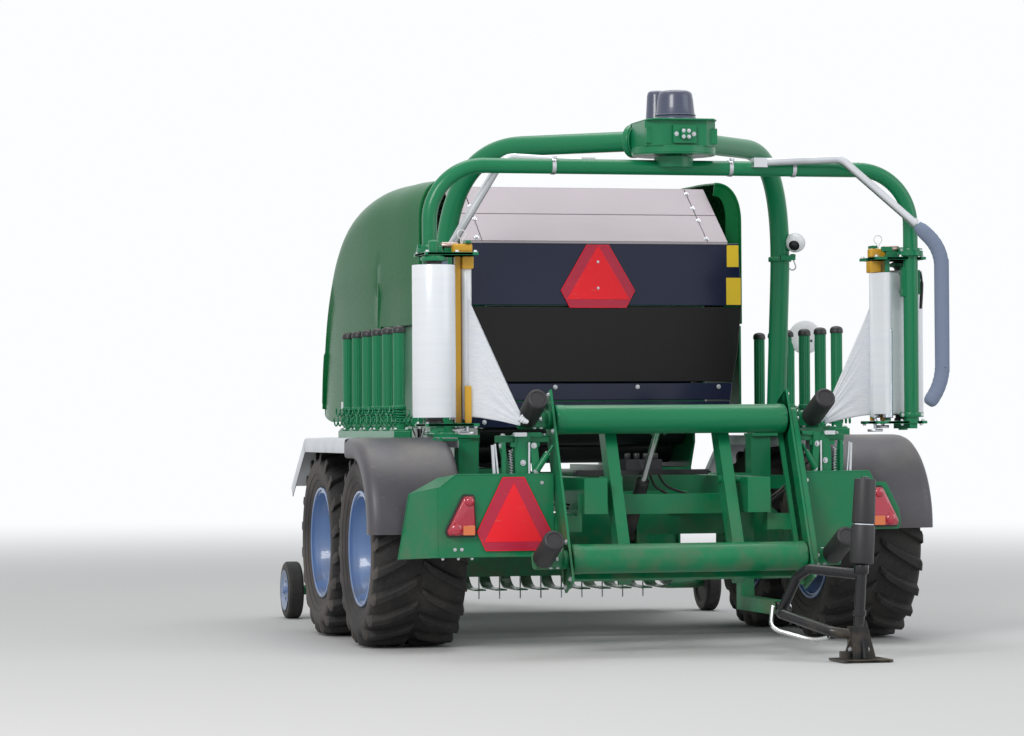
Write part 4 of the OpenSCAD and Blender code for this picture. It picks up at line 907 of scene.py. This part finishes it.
# Watching camera: a white ball of moulded plastic with a dark lens that looks down at the table,
# held on the right leg by a clamp; its lead goes into the leg.
white_plastic = moulded("white_plastic", (0.80, 0.81, 0.83), 0.35, 0.04, 0.2)
ball = np.array([1004, 1060, 2132], float)
gaze = unit([-0.42, -0.80, -0.42])
shell = [(0, -54), (20, -50), (38, -38), (49, -20), (54, 0), (50, 20), (43, 32), (36, 40), (30, 44), (28, 42),
         (28, 30), (0, 30)]
hung("camera_ball", [turned(shell, ball, gaze, 48), turned(oblong(53.5, -3, 55.2, 3), ball, gaze, 48, closed=True)],
     white_plastic, "chassis", 40, ["camera"])
lens_profile = [(0, 46), (9, 45), (17, 40), (25, 36), (27.5, 44), (28.5, 44), (28.5, 28), (0, 28)]
hung("camera_lens", [turned(lens_profile, ball, gaze, 32)], black_plastic)
hung("camera_clamp", [collar(937, 1124, 2030, 52, 26), bar((918, 1050, 2036), (942, 1108, 2060), 3),
                      bar((918, 1048, 2036), (1002, 1072, 2062), 3),
                      stud(16, 8, 10, 12, (990, 1060, 2058), (0, 0, 1), 24)], green)
hung("camera_lead", [tube(flowing([(990, 1075, 2070), (1004, 1082, 2030), (1018, 1096, 1998), (1002, 1112, 1985),
                                   (978, 1118, 2006), (966, 1130, 2040), (976, 1150, 2060)], 40), 4, 8)],
     white_plastic)

# Round white cover of moulded plastic behind the right rack, screwed to a flat upright bar of
# steel in green paint, whose foot is fixed beside the rack's rail.
cover_profile = [(0, 14), (60, 13), (86, 10), (94, 4), (95, 0), (95, -10), (0, -10)]
hung("round_cover", [turned(cover_profile, (1306, 1790, 1636), (0, -1, 0), 64)], white_plastic)
hung("cover_screws", [turned([(0, 0), (7, 0), (7, 4), (0, 5)], (1306 + dx, 1777, 1636 + dz), (0, -1, 0), 16)
                      for dx, dz in ((-22, 34), (30, -20))], black_plastic)
hung("cover_bracket", [bar((1294, 1800, 1090), (1318, 1806, 1660), 2),
                       bar((1258, 1790, 1090), (1318, 1806, 1100), 2)], green)


# Satellite: an arm of bent tube under the slewing gear carries a film carrier at each end. A carrier
# is two plates on brackets with a full roll on its spindle, two stretch rollers and a film web.
def wound_film():
    """Stretch film wound on a roll: white, layered rings on the ends, soft bands along the width."""
    made, shader, place, facing = new_material("wound_film")
    layers = place.noise(55.0, 3.0, (1, 1, 5))
    bands = place.noise(6.0, 3.0, (0.2, 0.2, 6))
    feed(shader, Base_Color=bands.between((0.74, 0.79, 0.86), (0.86, 0.88, 0.91)), Roughness=0.24 + layers * 0.15,
         Coat_Weight=0.5, Coat_Roughness=0.12, Normal=relief(layers, 0.10, 0.001))
    return made


film_white = wound_film()


def both_ends(*parts):
    """The parts and the same turned half round the wrapping axis: x' = -x and y' = -y."""
    return both(*parts, signs=(-1, -1, 1))


finished(zinc, "guard_bars")
arm_x, roll_x, roll_y = -1271.0, -1294.0, -190.0
long_roller, short_roller = (-1108, -100, 0), (-1150, -20, 0)
end_outline = eased([(-1345, -230), (-1225, -230), (-1090, -230), (-1075, -120), (-1075, 12), (-1120, 30),
                     (-1330, 30), (-1345, 10)], 14)
end_plates = [plate(end_outline, low, low + 14, "z", 2) for low in (1145, 1990)]
upright_clamps = [joined(collar(arm_x, 0, z, 39, 26), bar((arm_x - 62, -8, z), (arm_x - 38, 8, z + 26), 2),
                         bar((arm_x + 38, -8, z), (arm_x + 62, 8, z + 26), 2)) for z in (1178, 2024)]
roll_cup = [(60, 0), (64, 4), (64, 18), (50, 26), (20, 26), (20, 0)]
roll_arm = joined(bar((-1300, -205, 2004), (-1252, 40, 2034), 3),
                  stud(26, 52, 18, 60, (roll_x, roll_y, 2004), (0, 0, 1), 24),
                  bar((-1292, -215, 1120), (-1250, 30, 1145), 3),
                  rod(24, 0, 30, (roll_x, roll_y, 1112), (0, 0, 1), 24),
                  turned(roll_cup, (roll_x, roll_y, 1960), (0, 0, 1), 32),
                  bar((-1302, -22, 1806), (-1240, 22, 1944), 3), bar((-1326, -48, 1812), (-1316, -6, 1938), 2),
                  plate(eased(oblong(-1322, 1806, -1302, 1944), 5), -44, -38, "y"))
tie_rod = joined(bar((-1178, -30, 2034), (-1120, -12, 2058), 2), bar((-1118, -146, 2052), (-1092, -70, 2066), 2))
hung("carrier_brackets", [both_ends(*end_plates, *upright_clamps, roll_arm, tie_rod)], green, "satellite")
bolt_rows = ((2004, 1, 17, ((-1330, 10), (-1212, 16), (-1090, -10), (-1088, -215), (-1330, -210), (-1180, -210))),
             (1159, 1, 15, ((-1330, 10), (-1212, 16), (-1090, -40), (-1330, -210))),
             (1145, -1, 15, ((-1320, 10), (-1212, 16), (-1150, -100), (-1108, -100), (-1090, -215))))
fixings = joined(*[bolts([(x, y, z) for x, y in row], (0, 0, way), size) for z, way, size, row in bolt_rows],
                 bolts([(arm_x + dx, -22, z) for dx in (-46, 46) for z in (1826, 1922)], (0, -1, 0), 18),
                 bolts([(arm_x + dx, 10, z + 13) for dx in (-50, 50) for z in (1178, 2024)], (0, 1, 0), 13),
                 turned([(0, 0), (30, 0), (32, 4), (32, 12), (30, 16), (0, 16)], (-1150, -100, 1122), (0, 0, 1), 28),
                 turned([(0, 0), (38, 0), (40, 3), (40, 11), (38, 14), (0, 14)], (-1108, -100, 1104), (0, 0, 1), 28))
hung("carrier_fixings", [both_ends(fixings)], zinc, "satellite")
roll_profile = [(39, 1190), (40, 1188), (46, 1187), (106, 1189), (107, 1191), (107, 1938), (106, 1940), (46, 1942),
                (40, 1941), (39, 1939)]
core_profile = [(0, 1158), (45, 1160), (45, 1172), (39.5, 1176), (39.5, 1952), (45, 1956), (45, 1989), (0, 1990)]
hung("full_film_rolls", [both_ends(turned(roll_profile, (roll_x, roll_y, 0), (0, 0, 1), 96, closed=True))],
     film_white, "satellite", 30, ["film_rolls"])
hung("roll_spindles", [both_ends(turned(core_profile, (roll_x, roll_y, 0), (0, 0, 1), 40))], black_plastic,
     "satellite")

# Film from the roll to the stretch rollers, wound round the pair: thin bright skins on the rollers.
# The free webs are one stretched layer each, from the roller to where the film is gathered.
def thin_film():
    """One stretched layer: white, slightly see-through, with fine pull lines along the pleats."""
    made, shader, place, facing = new_material("stretched_film")
    lines = place.noise(26.0, 5.0, (1.2, 1, 5))
    feed(shader, Base_Color=lines.between((0.70, 0.76, 0.86), (0.88, 0.88, 0.88)), Roughness=0.28 + lines * 0.2,
         Alpha=0.9 + lines * 0.1, Normal=relief(lines, 0.5, 0.002))
    return made


film_thin = thin_film()
film_skin = turned([(25.3, 1182), (26.0, 1183), (26.0, 1931), (25.3, 1932)], long_roller, (0, 0, 1), 48, closed=True)
height = np.array([1195, 1320, 1560, 1800, 1925])
film_way = np.array([(-1267, -86), (-1230, -58), (-1190, -26), (-1166, -4), (-1156, 6), (-1148, 8.5), (-1138, 8),
                     (-1128, 1), (-1122, -10), (-1110, -42), (-1096, -72), (-1086, -90), (-1082.5, -100)], float)
lead = np.stack([np.column_stack([film_way, np.full(len(film_way), z)]) for z in height])
lead_back = lead[:, ::-1] + [0.5, -0.5, 0]
hung("film_on_rollers", [both_ends(film_skin, loft(np.concatenate([lead, lead_back], axis=1)))], film_white,
     "satellite", 40)


def web_surface(rows=60, columns=34):
    """The film from the roller to where it is gathered: straight pulls p + t (q - p) whose middle sags
    by 4 t (1 - t), pleated by a sine that grows as the width narrows."""
    v, t = np.linspace(0, 1, rows)[:, None], np.linspace(0, 1, columns)[None]
    roller_x, gathered_x, web_y, web_low, web_high = -1108.0, -842.0, -127.0, 1192, 598
    start = np.stack([np.full_like(v, roller_x), np.full_like(v, web_y), web_low + web_high * v], axis=-1)
    stop = np.stack([np.full_like(v, gathered_x), np.full_like(v, web_y), 1146 + 134 * v * 0.5], axis=-1)
    sheet = start + t[..., None] * (stop - start)
    crowd = t ** 1.6
    sheet[..., 2] -= 22 * 4 * t * (1 - t) * (v - 0.35)
    pleat = np.sin(v * 46 + 2.2 * np.sin(v * 9)) * 2.2 + np.sin(v * 23 + 1) * 2.6
    sheet[..., 1] += crowd * (1.15 - t * 0.45) * pleat * 1.3
    return sheet


web = web_surface()
web_back = web + [0, 0.6, 0]
for sign, hand in ((1, "left"), (-1, "right")):
    turn_signs = (sign, sign, 1)
    piece = hung(f"film_web_{hand}", [mirrored(loft(np.concatenate([web, web_back[:, ::-1]], axis=1)), turn_signs)],
                 film_thin, "satellite", 180, ["film_webs"] if sign > 0 else ())
    tail_path = flowing([(-846, -127, 1188), (-832, -127, 1176), (-816, -126, 1168), (-802, -125, 1164)], 14)
    tail_radius = np.linspace(20, 9, 14) * (1 + 0.14 * np.sin(np.arange(14) * 1.9))
    tail = hung(f"film_tail_{hand}", [mirrored(tube(tail_path, tail_radius, 14), turn_signs)],
                film_white, "satellite", 60)

# Stretch rollers of ribbed aluminium on steel shafts, and the yellow steel frame that holds them
# beside the roll, with its pull ring and release lever.
aluminium = bare_metal("aluminium_roller", (0.70, 0.74, 0.80), 0.28, (1, 1, 30), 0.15)
yellow = enamel("yellow_enamel", (0.76, 0.42, 0.035), 0.34, 0.3, 0.15)
roller_long = turned([(0, 1175), (23, 1175), (25, 1178), (25, 1932), (23, 1935), (0, 1935)], long_roller, (0, 0, 1),
                     40)
groove_z = np.arange(1200, 1632, 14.0)
grooves = np.column_stack([np.tile([27, 27, 26, 26], len(groove_z)), (groove_z[:, None] + [0, 10, 11, 13]).ravel()])
roller_short_profile = [(0, 1175), (25, 1175), (27, 1178), *grooves, (27, 1634), (25, 1638), (0, 1638)]
roller_short = turned(roller_short_profile, short_roller, (0, 0, 1), 36)
shafts = joined(rod(8, 1106, 1938, long_roller, (0, 0, 1), 16),
                rod(8, 1126, 1162, (-1150, -100, 0), (0, 0, 1), 16))
hung("stretch_roller_pair", [both_ends(roller_long, roller_short, shafts)], aluminium, "satellite", 30,
     ["stretch_rollers"])
post = rod(14, 1160, 1989, short_roller, (0, 0, 1), 18)
hung("carrier_posts", [both_ends(post)], green, "satellite")
yellow_frame = joined(bar((-1168, -115, 1160), (-1140, -87, 1989), 3),
                      plate(eased(oblong(-1128, 1160, -1094, 1345), 6), -144, -132, "y", 2),
                      plate(eased(oblong(-1136, 1926, -1078, 1988), 8), -138, -68, "y", 3),
                      plate(eased(oblong(-1179, -130, -1080, -70), 12), 2005, 2050, "z", 4),
                      bar((-1172, -134, 2016), (-1086, -128, 2040), 2))
hung("yellow_holders", [both_ends(yellow_frame)], yellow, "satellite", 35, ["stretch_units"])
ring = arc((0, 0), 22, -70, 250, 26)
pull = np.stack([-1130 + ring[:, 0], np.full(26, -100.0), 2098 + ring[:, 1]], axis=-1)
hung("pull_rings", [both_ends(tube(np.concatenate([[(-1128, -100, 2052)], pull, [(-1132, -100, 2052)]]), 2.4, 8))],
     white_plastic, "satellite")
lever_path = flowing([(-1340, -46, 1930), (-1352, -58, 1900), (-1356, -64, 1850), (-1352, -66, 1770),
                      (-1350, -66, 1740)], 24)
lever = tube(lever_path, np.interp(np.arange(24), [0, 8, 9, 23], [6, 6, 9, 8]), 12)
hung("release_levers", [both_ends(lever)], black_plastic, "satellite")
arm_clips = [joined(turned(oblong(38.4, 0, 42, 20), (x, 0, 2450), (1, 0, 0), 36, closed=True),
                    bar((x, -54, 2484), (x + 20, -30, 2500), 2)) for x in (-644, 287, 625)]
hung("arm_clips", arm_clips, zinc, "satellite")
guard_ends = joined(bar((398, -94, 2452), (472, -38, 2458), 2),
                    turned([(21.2, 0), (25, 1), (25, 22), (21.2, 23)], (1210, -194, 2178), (0.672, -0.224, -0.635),
                           28, closed=True))
hung("guard_end_bar", [tube([(-1083, 189, 2113), (-1155, 225.5, 1984)], 20.5, 24)], zinc, "satellite")
hung("guard_clamps", [guard_ends, mirrored(bar((398, -94, 2452), (472, -38, 2458), 2), (-1, -1, 1))], zinc,
     "satellite")

# Foam sleeves on the guard rails: closed-cell foam tube, glued at the seam, with soft rounded ends.
# The rails end in bronze fittings on saddles.
foam = moulded("foam_sleeve", (0.19, 0.235, 0.34), 0.75, 0.5, 0.1)
foam_ways = (("right", 95, [(1232, -202, 2157), (1345, -250, 2035), (1345, -250, 1350), (1268, -250, 1243)]),
             ("left", 60, [(-1151, 223.6, 1991), (-1195, 262, 1905), (-1195, 262, 1350), (-1152, 262, 1243)]))
for hand, radius, corners in foam_ways:
    dense = flowing(bent(corners, radius, 14), 90)
    ring_number = np.arange(90)
    swell = (37.5 * (1 - np.exp(-np.minimum(ring_number, 89 - ring_number) * 1.4 - 1.1))
             + 0.5 * np.sin(ring_number * 0.9))
    hung(f"foam_sleeve_{hand}", [tube(dense, np.minimum(swell, 38), 28)], foam, "satellite", 60,
                   ["guard_foam"] if hand == "right" else ())
bronze = bare_metal("bronze_fitting", (0.52, 0.40, 0.36), 0.30, (1, 1, 1), 0.3)
end_fitting = turned([(0, 0), (14, 0), (17, 4), (17, 81), (14, 85), (0, 85)], (-1218, -30, 2046), (1, 0, 0), 28)
hung("guard_end_fittings", [both_ends(end_fitting)], bronze, "satellite")
hung("fitting_saddles", [both_ends(bar((-1206, -46, 2004), (-1146, -14, 2034), 3))], green, "satellite")


# Wrapping table: two drive rollers and four rubber corner cones on side plates, tipped back.
# Steel tube and plate in green paint, pinned to the frame; chain case on its right side.
roller_rows, side_spots = (-380, 380), [(s, y) for s in (-1, 1) for y in (-380, 380)]
table_turn, pivot = math.radians(66), np.array([0, 101, 867], float)


def tipped(part):
    """The part turned by the table's tilt about its pivot: y' = y cos - z sin, z' = y sin + z cos."""
    arm = part[0] - pivot
    c, s = math.cos(table_turn), math.sin(table_turn)
    return np.stack([arm[:, 0], arm[:, 1] * c - arm[:, 2] * s, arm[:, 1] * s + arm[:, 2] * c],
                    axis=-1) + pivot, part[1]


roller_rubber = rubber("roller_rubber", (0.016, 0.015, 0.018), 0.05, 0.3, 0.5)
cover = [(0, -610), (68, -610), (73, -605), (75, -600), (75, -565), (73.5, -563), (73.5, 563), (75, 565), (75, 600),
         (73, 605), (68, 610), (0, 610)]
table_rolls = [turned(cover, (0, y, 1000), (1, 0, 0), 56) for y in roller_rows]
cone_profile = [(0, 0.5), (46, 0.5), (52, 6), (54, 14), (54, 232), (52, 243), (46, 249), (38, 250), (34, 246),
                (0, 246)]
cones = [turned(cone_profile, (s * 755, y, 1010), (0, 0, 1), 44) for s, y in side_spots]
hung("table_drive_rollers", [tipped(p) for p in table_rolls], green, "table", 35, ["table_rollers"])
hung("table_corner_cones", [tipped(p) for p in cones], roller_rubber, "table")
side_outline = [(-520, 905), (-470, 900), (470, 900), (520, 905), (520, 1040), (500, 1060), (330, 1060), (290, 985),
                (-290, 985), (-330, 1060), (-500, 1060), (-520, 1040)]
bearing_flange = [(22, 0), (44, 0), (46, 4), (46, 18), (22, 22)]
cone_foot = [(0, 0), (40, 0), (44, 4), (44, 16), (0, 20)]


def cone_bracket(y):
    """The flat plate that reaches out from a side plate to under the corner cone at y."""
    outline = [(612, y - 44), (800, y - 44), (806, y - 30), (806, y + 30), (800, y + 44), (612, y + 44)]
    return plate(eased(outline, 10), 978, 990, "z", 2)


side_plate = joined(plate(eased(side_outline, 14), 620, 632, "x", 2), bar((598, -500, 902), (621, 500, 920), 2),
                    *[turned(bearing_flange, (632, y, 1000), (1, 0, 0), 32) for y in roller_rows],
                    *[cone_bracket(y) for y in roller_rows],
                    *[turned(cone_foot, (755, y, 990), (0, 0, 1), 32) for y in roller_rows])
chain_case = plate(eased([(-420, 945), (420, 945), (440, 1000), (420, 1050), (-420, 1050), (-440, 1000)], 30), 634,
                   668, "x", 4)
hung("table_side_plates", [tipped(both(side_plate)), tipped(chain_case)], green, "table")
side_bolts = ([(632, y, z) for y in (-500, -300, 300, 500) for z in (930, 1035)]
              + [(678, y, 1000) for y in roller_rows])
cone_bolts = [(x, y, 990) for y in (-415, -345, 345, 415) for x in (680, 715)]
hung("table_bolts", [tipped(both(bolts(side_bolts, (1, 0, 0), 18), bolts(cone_bolts, (0, 0, 1), 15)))], zinc, "table")
chain_cap = [(0, 0), (34, 0), (35, 1.5), (34, 3), (0, 3)]
hung("table_chain", [tipped(turned(chain_cap, (668.2, y, 1000), (1, 0, 0), 24)) for y in roller_rows], black_paint,
     "table")

# Film cutters: beside the table, on posts on the board carriers, each has a jaw that takes the film,
# a swinging arm with its links and a small cylinder; bare rods and springs show between them.
def cutter():
    """One cutter at +X: welded plates, links as flat bars between pins, jaw plates and its cylinder."""
    post = eased([(752, 690), (830, 690), (830, 1000), (812, 1100), (770, 1100), (752, 1000)], 12)
    plates = [*[plate(post, y, y + 12, "y", 2) for y in (30, 84)],
              plate(eased([(640, 58), (700, 40), (900, 58), (920, 80), (900, 108), (660, 112), (640, 100)], 12), 1088,
                    1097, "z", 2), plate(eased(oblong(646, 1062, 918, 1090), 5), 56, 64, "y", 2),
              plate(eased([(690, 1097), (760, 1097), (748, 1112), (700, 1112)], 5), 44, 98, "y", 2),
              plate(eased([(700, 905), (742, 900), (756, 1060), (716, 1062)], 8), 20, 30, "y", 2),
              plate(eased([(838, 860), (872, 852), (912, 1062), (880, 1066)], 8), 48, 58, "y", 2)]
    bars = [tube([(724, 14, 920), (668, 8, 1004)], 17, 12), tube([(668, 8, 1004), (640, 4, 1046)], 8, 10),
            bar((880, 24, 900), (900, 44, 1062), 2), bar((700, 36, 1040), (852, 50, 1062), 2)]
    return joined(*plates, *bars)


def on_both_sides(part, inner=640.0, outer=948.0, case_edge=678.0):
    """The part mirrored to the left, and at the right squeezed to pass the chain case: its inner edge
    moves from inner to case_edge while outer stays, so distances from outer shrink by
    (outer - case_edge) / (outer - inner)."""
    narrow = part[0].copy()
    narrow[:, 0] = outer - (outer - narrow[:, 0]) * (outer - case_edge) / (outer - inner)
    return joined(mirrored(part), (narrow, part[1]))


cutter_metal = joined(tube([(760, 20, 880), (760, 20, 1062)], 7, 10), tube([(904, 18, 720), (936, 24, 1056)], 6, 10),
                      tube([(930, 20, 700), (948, 26, 1050)], 9, 10),
                      bolts([(724, 19, 920), (668, 19, 1004), (860, 46, 880), (896, 46, 1046), (736, 18, 1046),
                             (790, 28, 760), (790, 28, 960)], (0, -1, 0), 18),
                      bolts([(x, y, 1097) for x in (664, 820, 880) for y in (72, 96)], (0, 0, 1), 15),
                      coil((848, 36, 905), (0.05, 0, 1), 10, 2.4, 9, 120, 6),
                      bar((776, -4, 1092), (842, 24, 1112), 2), rod(9, 0, 36, (774, 10, 1102), (1, 0, 0), 14))
hung("cutter_arms", [on_both_sides(cutter())], green)
hung("cutter_links", [on_both_sides(cutter_metal)], zinc)
cutter_hose = [tube(flowing([(790, 100, 1000), (770, 150, 960), (700, 190, 900), (640, 210, 820), (560, 222, 760),
                             (495, 235, 740)], 36), 6, 8),
               tube(flowing([(806, 100, 940), (790, 165, 900), (720, 215, 850), (640, 232, 790), (560, 240, 735),
                             (495, 255, 722)], 36), 6, 8)]
hung("cutter_hoses", [both(*cutter_hose)], hose_rubber)

# Bale turner: a black steel frame on a hinge, with two rubber rollers on its post and a foot plate
# that drags behind it; a bright bent stay holds it.
turner_black = enamel("turner_black_paint", (0.010, 0.010, 0.012), 0.25, 0.3, 0.1, 0.22)
finished(turner_black, "turner_frame")
turner_low, turner_top = np.array([598, -1040, 70], float), np.array([642, -1040, 890], float)
lean_way = unit(turner_top - turner_low)
roller_low = [(0, 0), (50, 0), (57, 5), (58, 12), (58, 180), (55, 186), (48, 188), (0, 188)]
roller_up = [(0, 0), (50, 0), (56, 5), (56, 12), (52, 208), (48, 215), (38, 217), (0, 217)]
hung("turner_roller_covers", [turned(roller_low, turner_low + lean_way * 402, lean_way, 44),
                              turned(roller_up, turner_low + lean_way * 596, lean_way, 44)], roller_rubber, "turner",
     35, ["turner_rollers"])
hung("turner_seam_ring", [turned(oblong(48, 0, 51, 5), turner_low + lean_way * 590.5, lean_way, 44, closed=True),
                          stud(20, 6, 12, 10, turner_low + lean_way * 812, lean_way, 24)], aluminium, "turner")
upper_ring = [(26, 0), (34, 2), (36, 8), (36, 40), (34, 46), (26, 48)]
lower_ring = [(27, 0), (32, 2), (32, 28), (27, 30)]
foot_shoe = joined(plate(eased([(488, -1150), (738, -1150), (700, -930), (500, -930)], 18), 3, 13, "z", 3),
                   plate(eased([(-1104, 13), (-976, 13), (-1004, 205), (-1060, 205)], 12), 604, 614, "x", 2),
                   plate(eased([(520, 13), (690, 13), (640, 200), (585, 200)], 12), -1046, -1036, "y", 2),
                   plate(eased(oblong(508, -1060, 560, -1020), 6), 13, 52, "z", 3),
                   turned(upper_ring, turner_low + lean_way * 352, lean_way, 32),
                   turned(lower_ring, turner_low + lean_way * 150, lean_way, 32))
hung("turner_shoe", [foot_shoe], turner_black, "turner")
hung("turner_bolts", [bolts([(604, y, z) for y in (-1062, -1020) for z in (70, 150)], (-1, 0, 0), 18),
                      bolts([(x, -1046, z) for x, z in ((560, 60), (640, 60), (600, 160))], (0, -1, 0), 18),
                      stud(22, 6, 14, 10, (478, -360, 230), (1, 0, 0), 20)], zinc, "turner")
stay = bent([(470, -980, 120), (430, -900, 96), (250, -760, 150), (300, -640, 250)], 60, 10)
hung("turner_stay", [tube(stay, 11, 12)], chrome, "turner")

# Front and underside: hoses along the drawbar in a holder, sprockets and chains beside the chamber
# and a valve block with its hoses; all plain steel and rubber, fixed to the frame.
finished(zinc, "pickup_reel")


def bar_hose(dx, dz):
    """A hose along the drawbar, from its plug in front back to the frame, moved by dx and dz."""
    way = [(dx, 5180, 560), (20 + dx, 4900, 600 + dz), (40 + dx, 4500, 760 + dz), (60 + dx, 4100, 880 + dz),
           (70 + dx, 3850, 905), (80 + dx, 3600, 902)]
    return tube(flowing(way, 40), 8, 10)


bar_hoses = [bar_hose(dx, dz) for dx, dz in ((-16, 0), (4, 6), (24, 0), (44, 8))]
plugs = [turned([(0, 0), (11, 0), (13, 4), (13, 44), (10, 50), (6, 70), (0, 70)], (dx, 5176, 559), (0, 1, 0.05), 16)
         for dx in (-16, 4, 24, 44)]
holder = joined(bar((-60, 5080, 540), (70, 5096, 640), 3), bar((-60, 5040, 540), (70, 5092, 548), 2))
hung("drawbar_hoses", bar_hoses, hose_rubber)
hung("hose_plugs", plugs, zinc)
hung("hose_holder", [holder], green)


def sprocket(y, z, r):
    """A chain wheel of radius r with a ridged rim, on its hub."""
    disc = turned([(0, 0), (r, 0), (r + 4, 4), (r, 8), (0, 8)], (664, y, z), (1, 0, 0), 40)
    return joined(disc, rod(30, 0, 30, (652, y, z), (1, 0, 0), 24))


spots = [(2520, 1400, 60), (3000, 1100, 70), (3380, 1300, 52), (3180, 1900, 60), (2700, 2220, 60)]
hung("drive_sprockets", [both(*[sprocket(*s) for s in spots])], black_paint)
hung("drive_chains", [both(*[tube([(668, a[0], a[1] + s * a[2]), (668, b[0], b[1] + s * b[2])], 6, 8)
                             for s in (1, -1) for a, b in zip(spots[:-1], spots[1:])])], zinc)
valve = joined(bar((-100, 570, 912), (100, 690, 966), 4),
               *[turned([(0, 0), (15, 0), (16, 4), (16, 26), (12, 32), (0, 32)], (x, 630, 966), (0, 0, 1), 20)
                 for x in (-75, -25, 25, 75)], bar((-360, 600, 884), (360, 660, 912), 3))
hung("valve_block", [valve], black_paint)


def valve_hose(x):
    """A hose from the block that runs back and down while it spreads from x to 3.9 x."""
    way = [(x, 690, 945), (x * 1.1, 735, 930), (x * 1.4, 752, 880), (x * 1.9, 750, 820), (x * 3.0, 735, 780),
           (x * 3.9, 700, 760)]
    return tube(flowing(way, 36), 7, 10)


hung("valve_hoses", [valve_hose(x) for x in (-95, -60, 60, 95)], hose_rubber)


# Gauge wheels of the pickup: small rubber tyres, each closed on its outer side by a pressed steel
# disc with a greased hub and four nuts.
finished(tyre_rubber, "gauge_wheel_left", "gauge_wheel_right")
disc_profile = [(0, 58), (16, 57), (20, 50), (24, 42), (58, 36), (92, 40), (108, 45.2), (122, 46.2), (122, 48.5),
                (107, 48), (91, 43), (58, 39), (27, 45), (23, 53), (18, 60), (0, 61)]
disc_nut = turned([(0, 0), (7, 0), (7, 6), (0, 7)], (38, 0, 50), (1, 0, 0), 6)
gauge_disc = joined(turned(disc_profile, *axle, 48), spun(disc_nut, *axle, np.arange(4) * math.pi / 2))
for side, hand in sides:
    hung(f"gauge_disc_{hand}", [(gauge_disc[0] * [side, 1, 1] + [side * 1300, 3683, 170], gauge_disc[1])], rim_blue_and_painted_sky,
         f"gauge_{hand}")


# Stage: a pale floor and a white surround, lit by a soft sky and three large lamps.
surround = (0.97, 0.985, 1.0)


def seen_by_eye(start):
    """1 for a ray of the camera, of gloss or through glass, 0 for light that falls on a surface."""
    camera_ray, glossy, through = [start.node("LightPath", out=f"Is {kind} Ray")
                                   for kind in ("Camera", "Glossy", "Transmission")]
    return camera_ray.maths("MAXIMUM", glossy).maths("MAXIMUM", through)


floor_half = 200.0
floor_mesh = bpy.data.meshes.new("floor")
corners = oblong(-floor_half, -floor_half, floor_half, floor_half)
floor_mesh.from_pydata([(x, y, 0) for x, y in corners], [], [(0, 1, 2, 3)])
floor = bpy.data.objects.new("floor", floor_mesh)
scene.collection.objects.link(floor)
floor_made, floor_shader, floor_place = new_material("pale_floor")[:3]
flat_place = floor_place.node("VectorMath", {"operation": "MULTIPLY"}, {0: floor_place, 1: (1.0, 0.75, 0.0)})
reach = flat_place.node("VectorMath", {"operation": "LENGTH"}, {0: flat_place}, out="Value")
far = reach.step(2.6, 18.0) * seen_by_eye(floor_place)
feed(floor_shader, Base_Color=far.between((0.62, 0.62, 0.62), (0.0, 0.0, 0.0)), Roughness=0.9, Specular_IOR_Level=0.0,
     Emission_Color=far.between((0.0, 0.0, 0.0), surround), Emission_Strength=1.0)
floor_mesh.materials.append(floor_made)
world = bpy.data.worlds.new("studio")
scene.world = world
world.use_nodes = True
background = world.node_tree.nodes["Background"]
background.inputs["Color"].default_value = (*surround, 1)
sky_level = 0.5
seen = seen_by_eye(Wire(world.node_tree, background.outputs[0]))
world.node_tree.links.new((seen * (1 - sky_level) + sky_level).socket, background.inputs["Strength"])


def soft_lamp(name, place, target, size, watts, shade=(1, 1, 1)):
    """A square lamp at place that looks at target."""
    data = bpy.data.lights.new(name, "AREA")
    data.size, data.energy, data.color = size, watts, shade
    lamp = bpy.data.objects.new(name, data)
    scene.collection.objects.link(lamp)
    back = unit(np.array(place, float) - np.array(target, float))
    side = unit(np.cross([0, 0, 1], back))
    top = np.cross(back, side)
    lamp.matrix_world = Matrix([[side[i], top[i], back[i], place[i]] for i in range(3)] + [[0, 0, 0, 1]])


soft_lamp("key_lamp", (-9, -12, 9), (0, -1, 1), 5.0, 1050, (1.0, 0.985, 0.96))
soft_lamp("fill_lamp", (10, -9, 6), (0, -1, 1), 8.0, 300, (0.95, 0.975, 1.0))
soft_lamp("top_lamp", (0.5, 1, 11), (0, 0, 0), 8.0, 480)
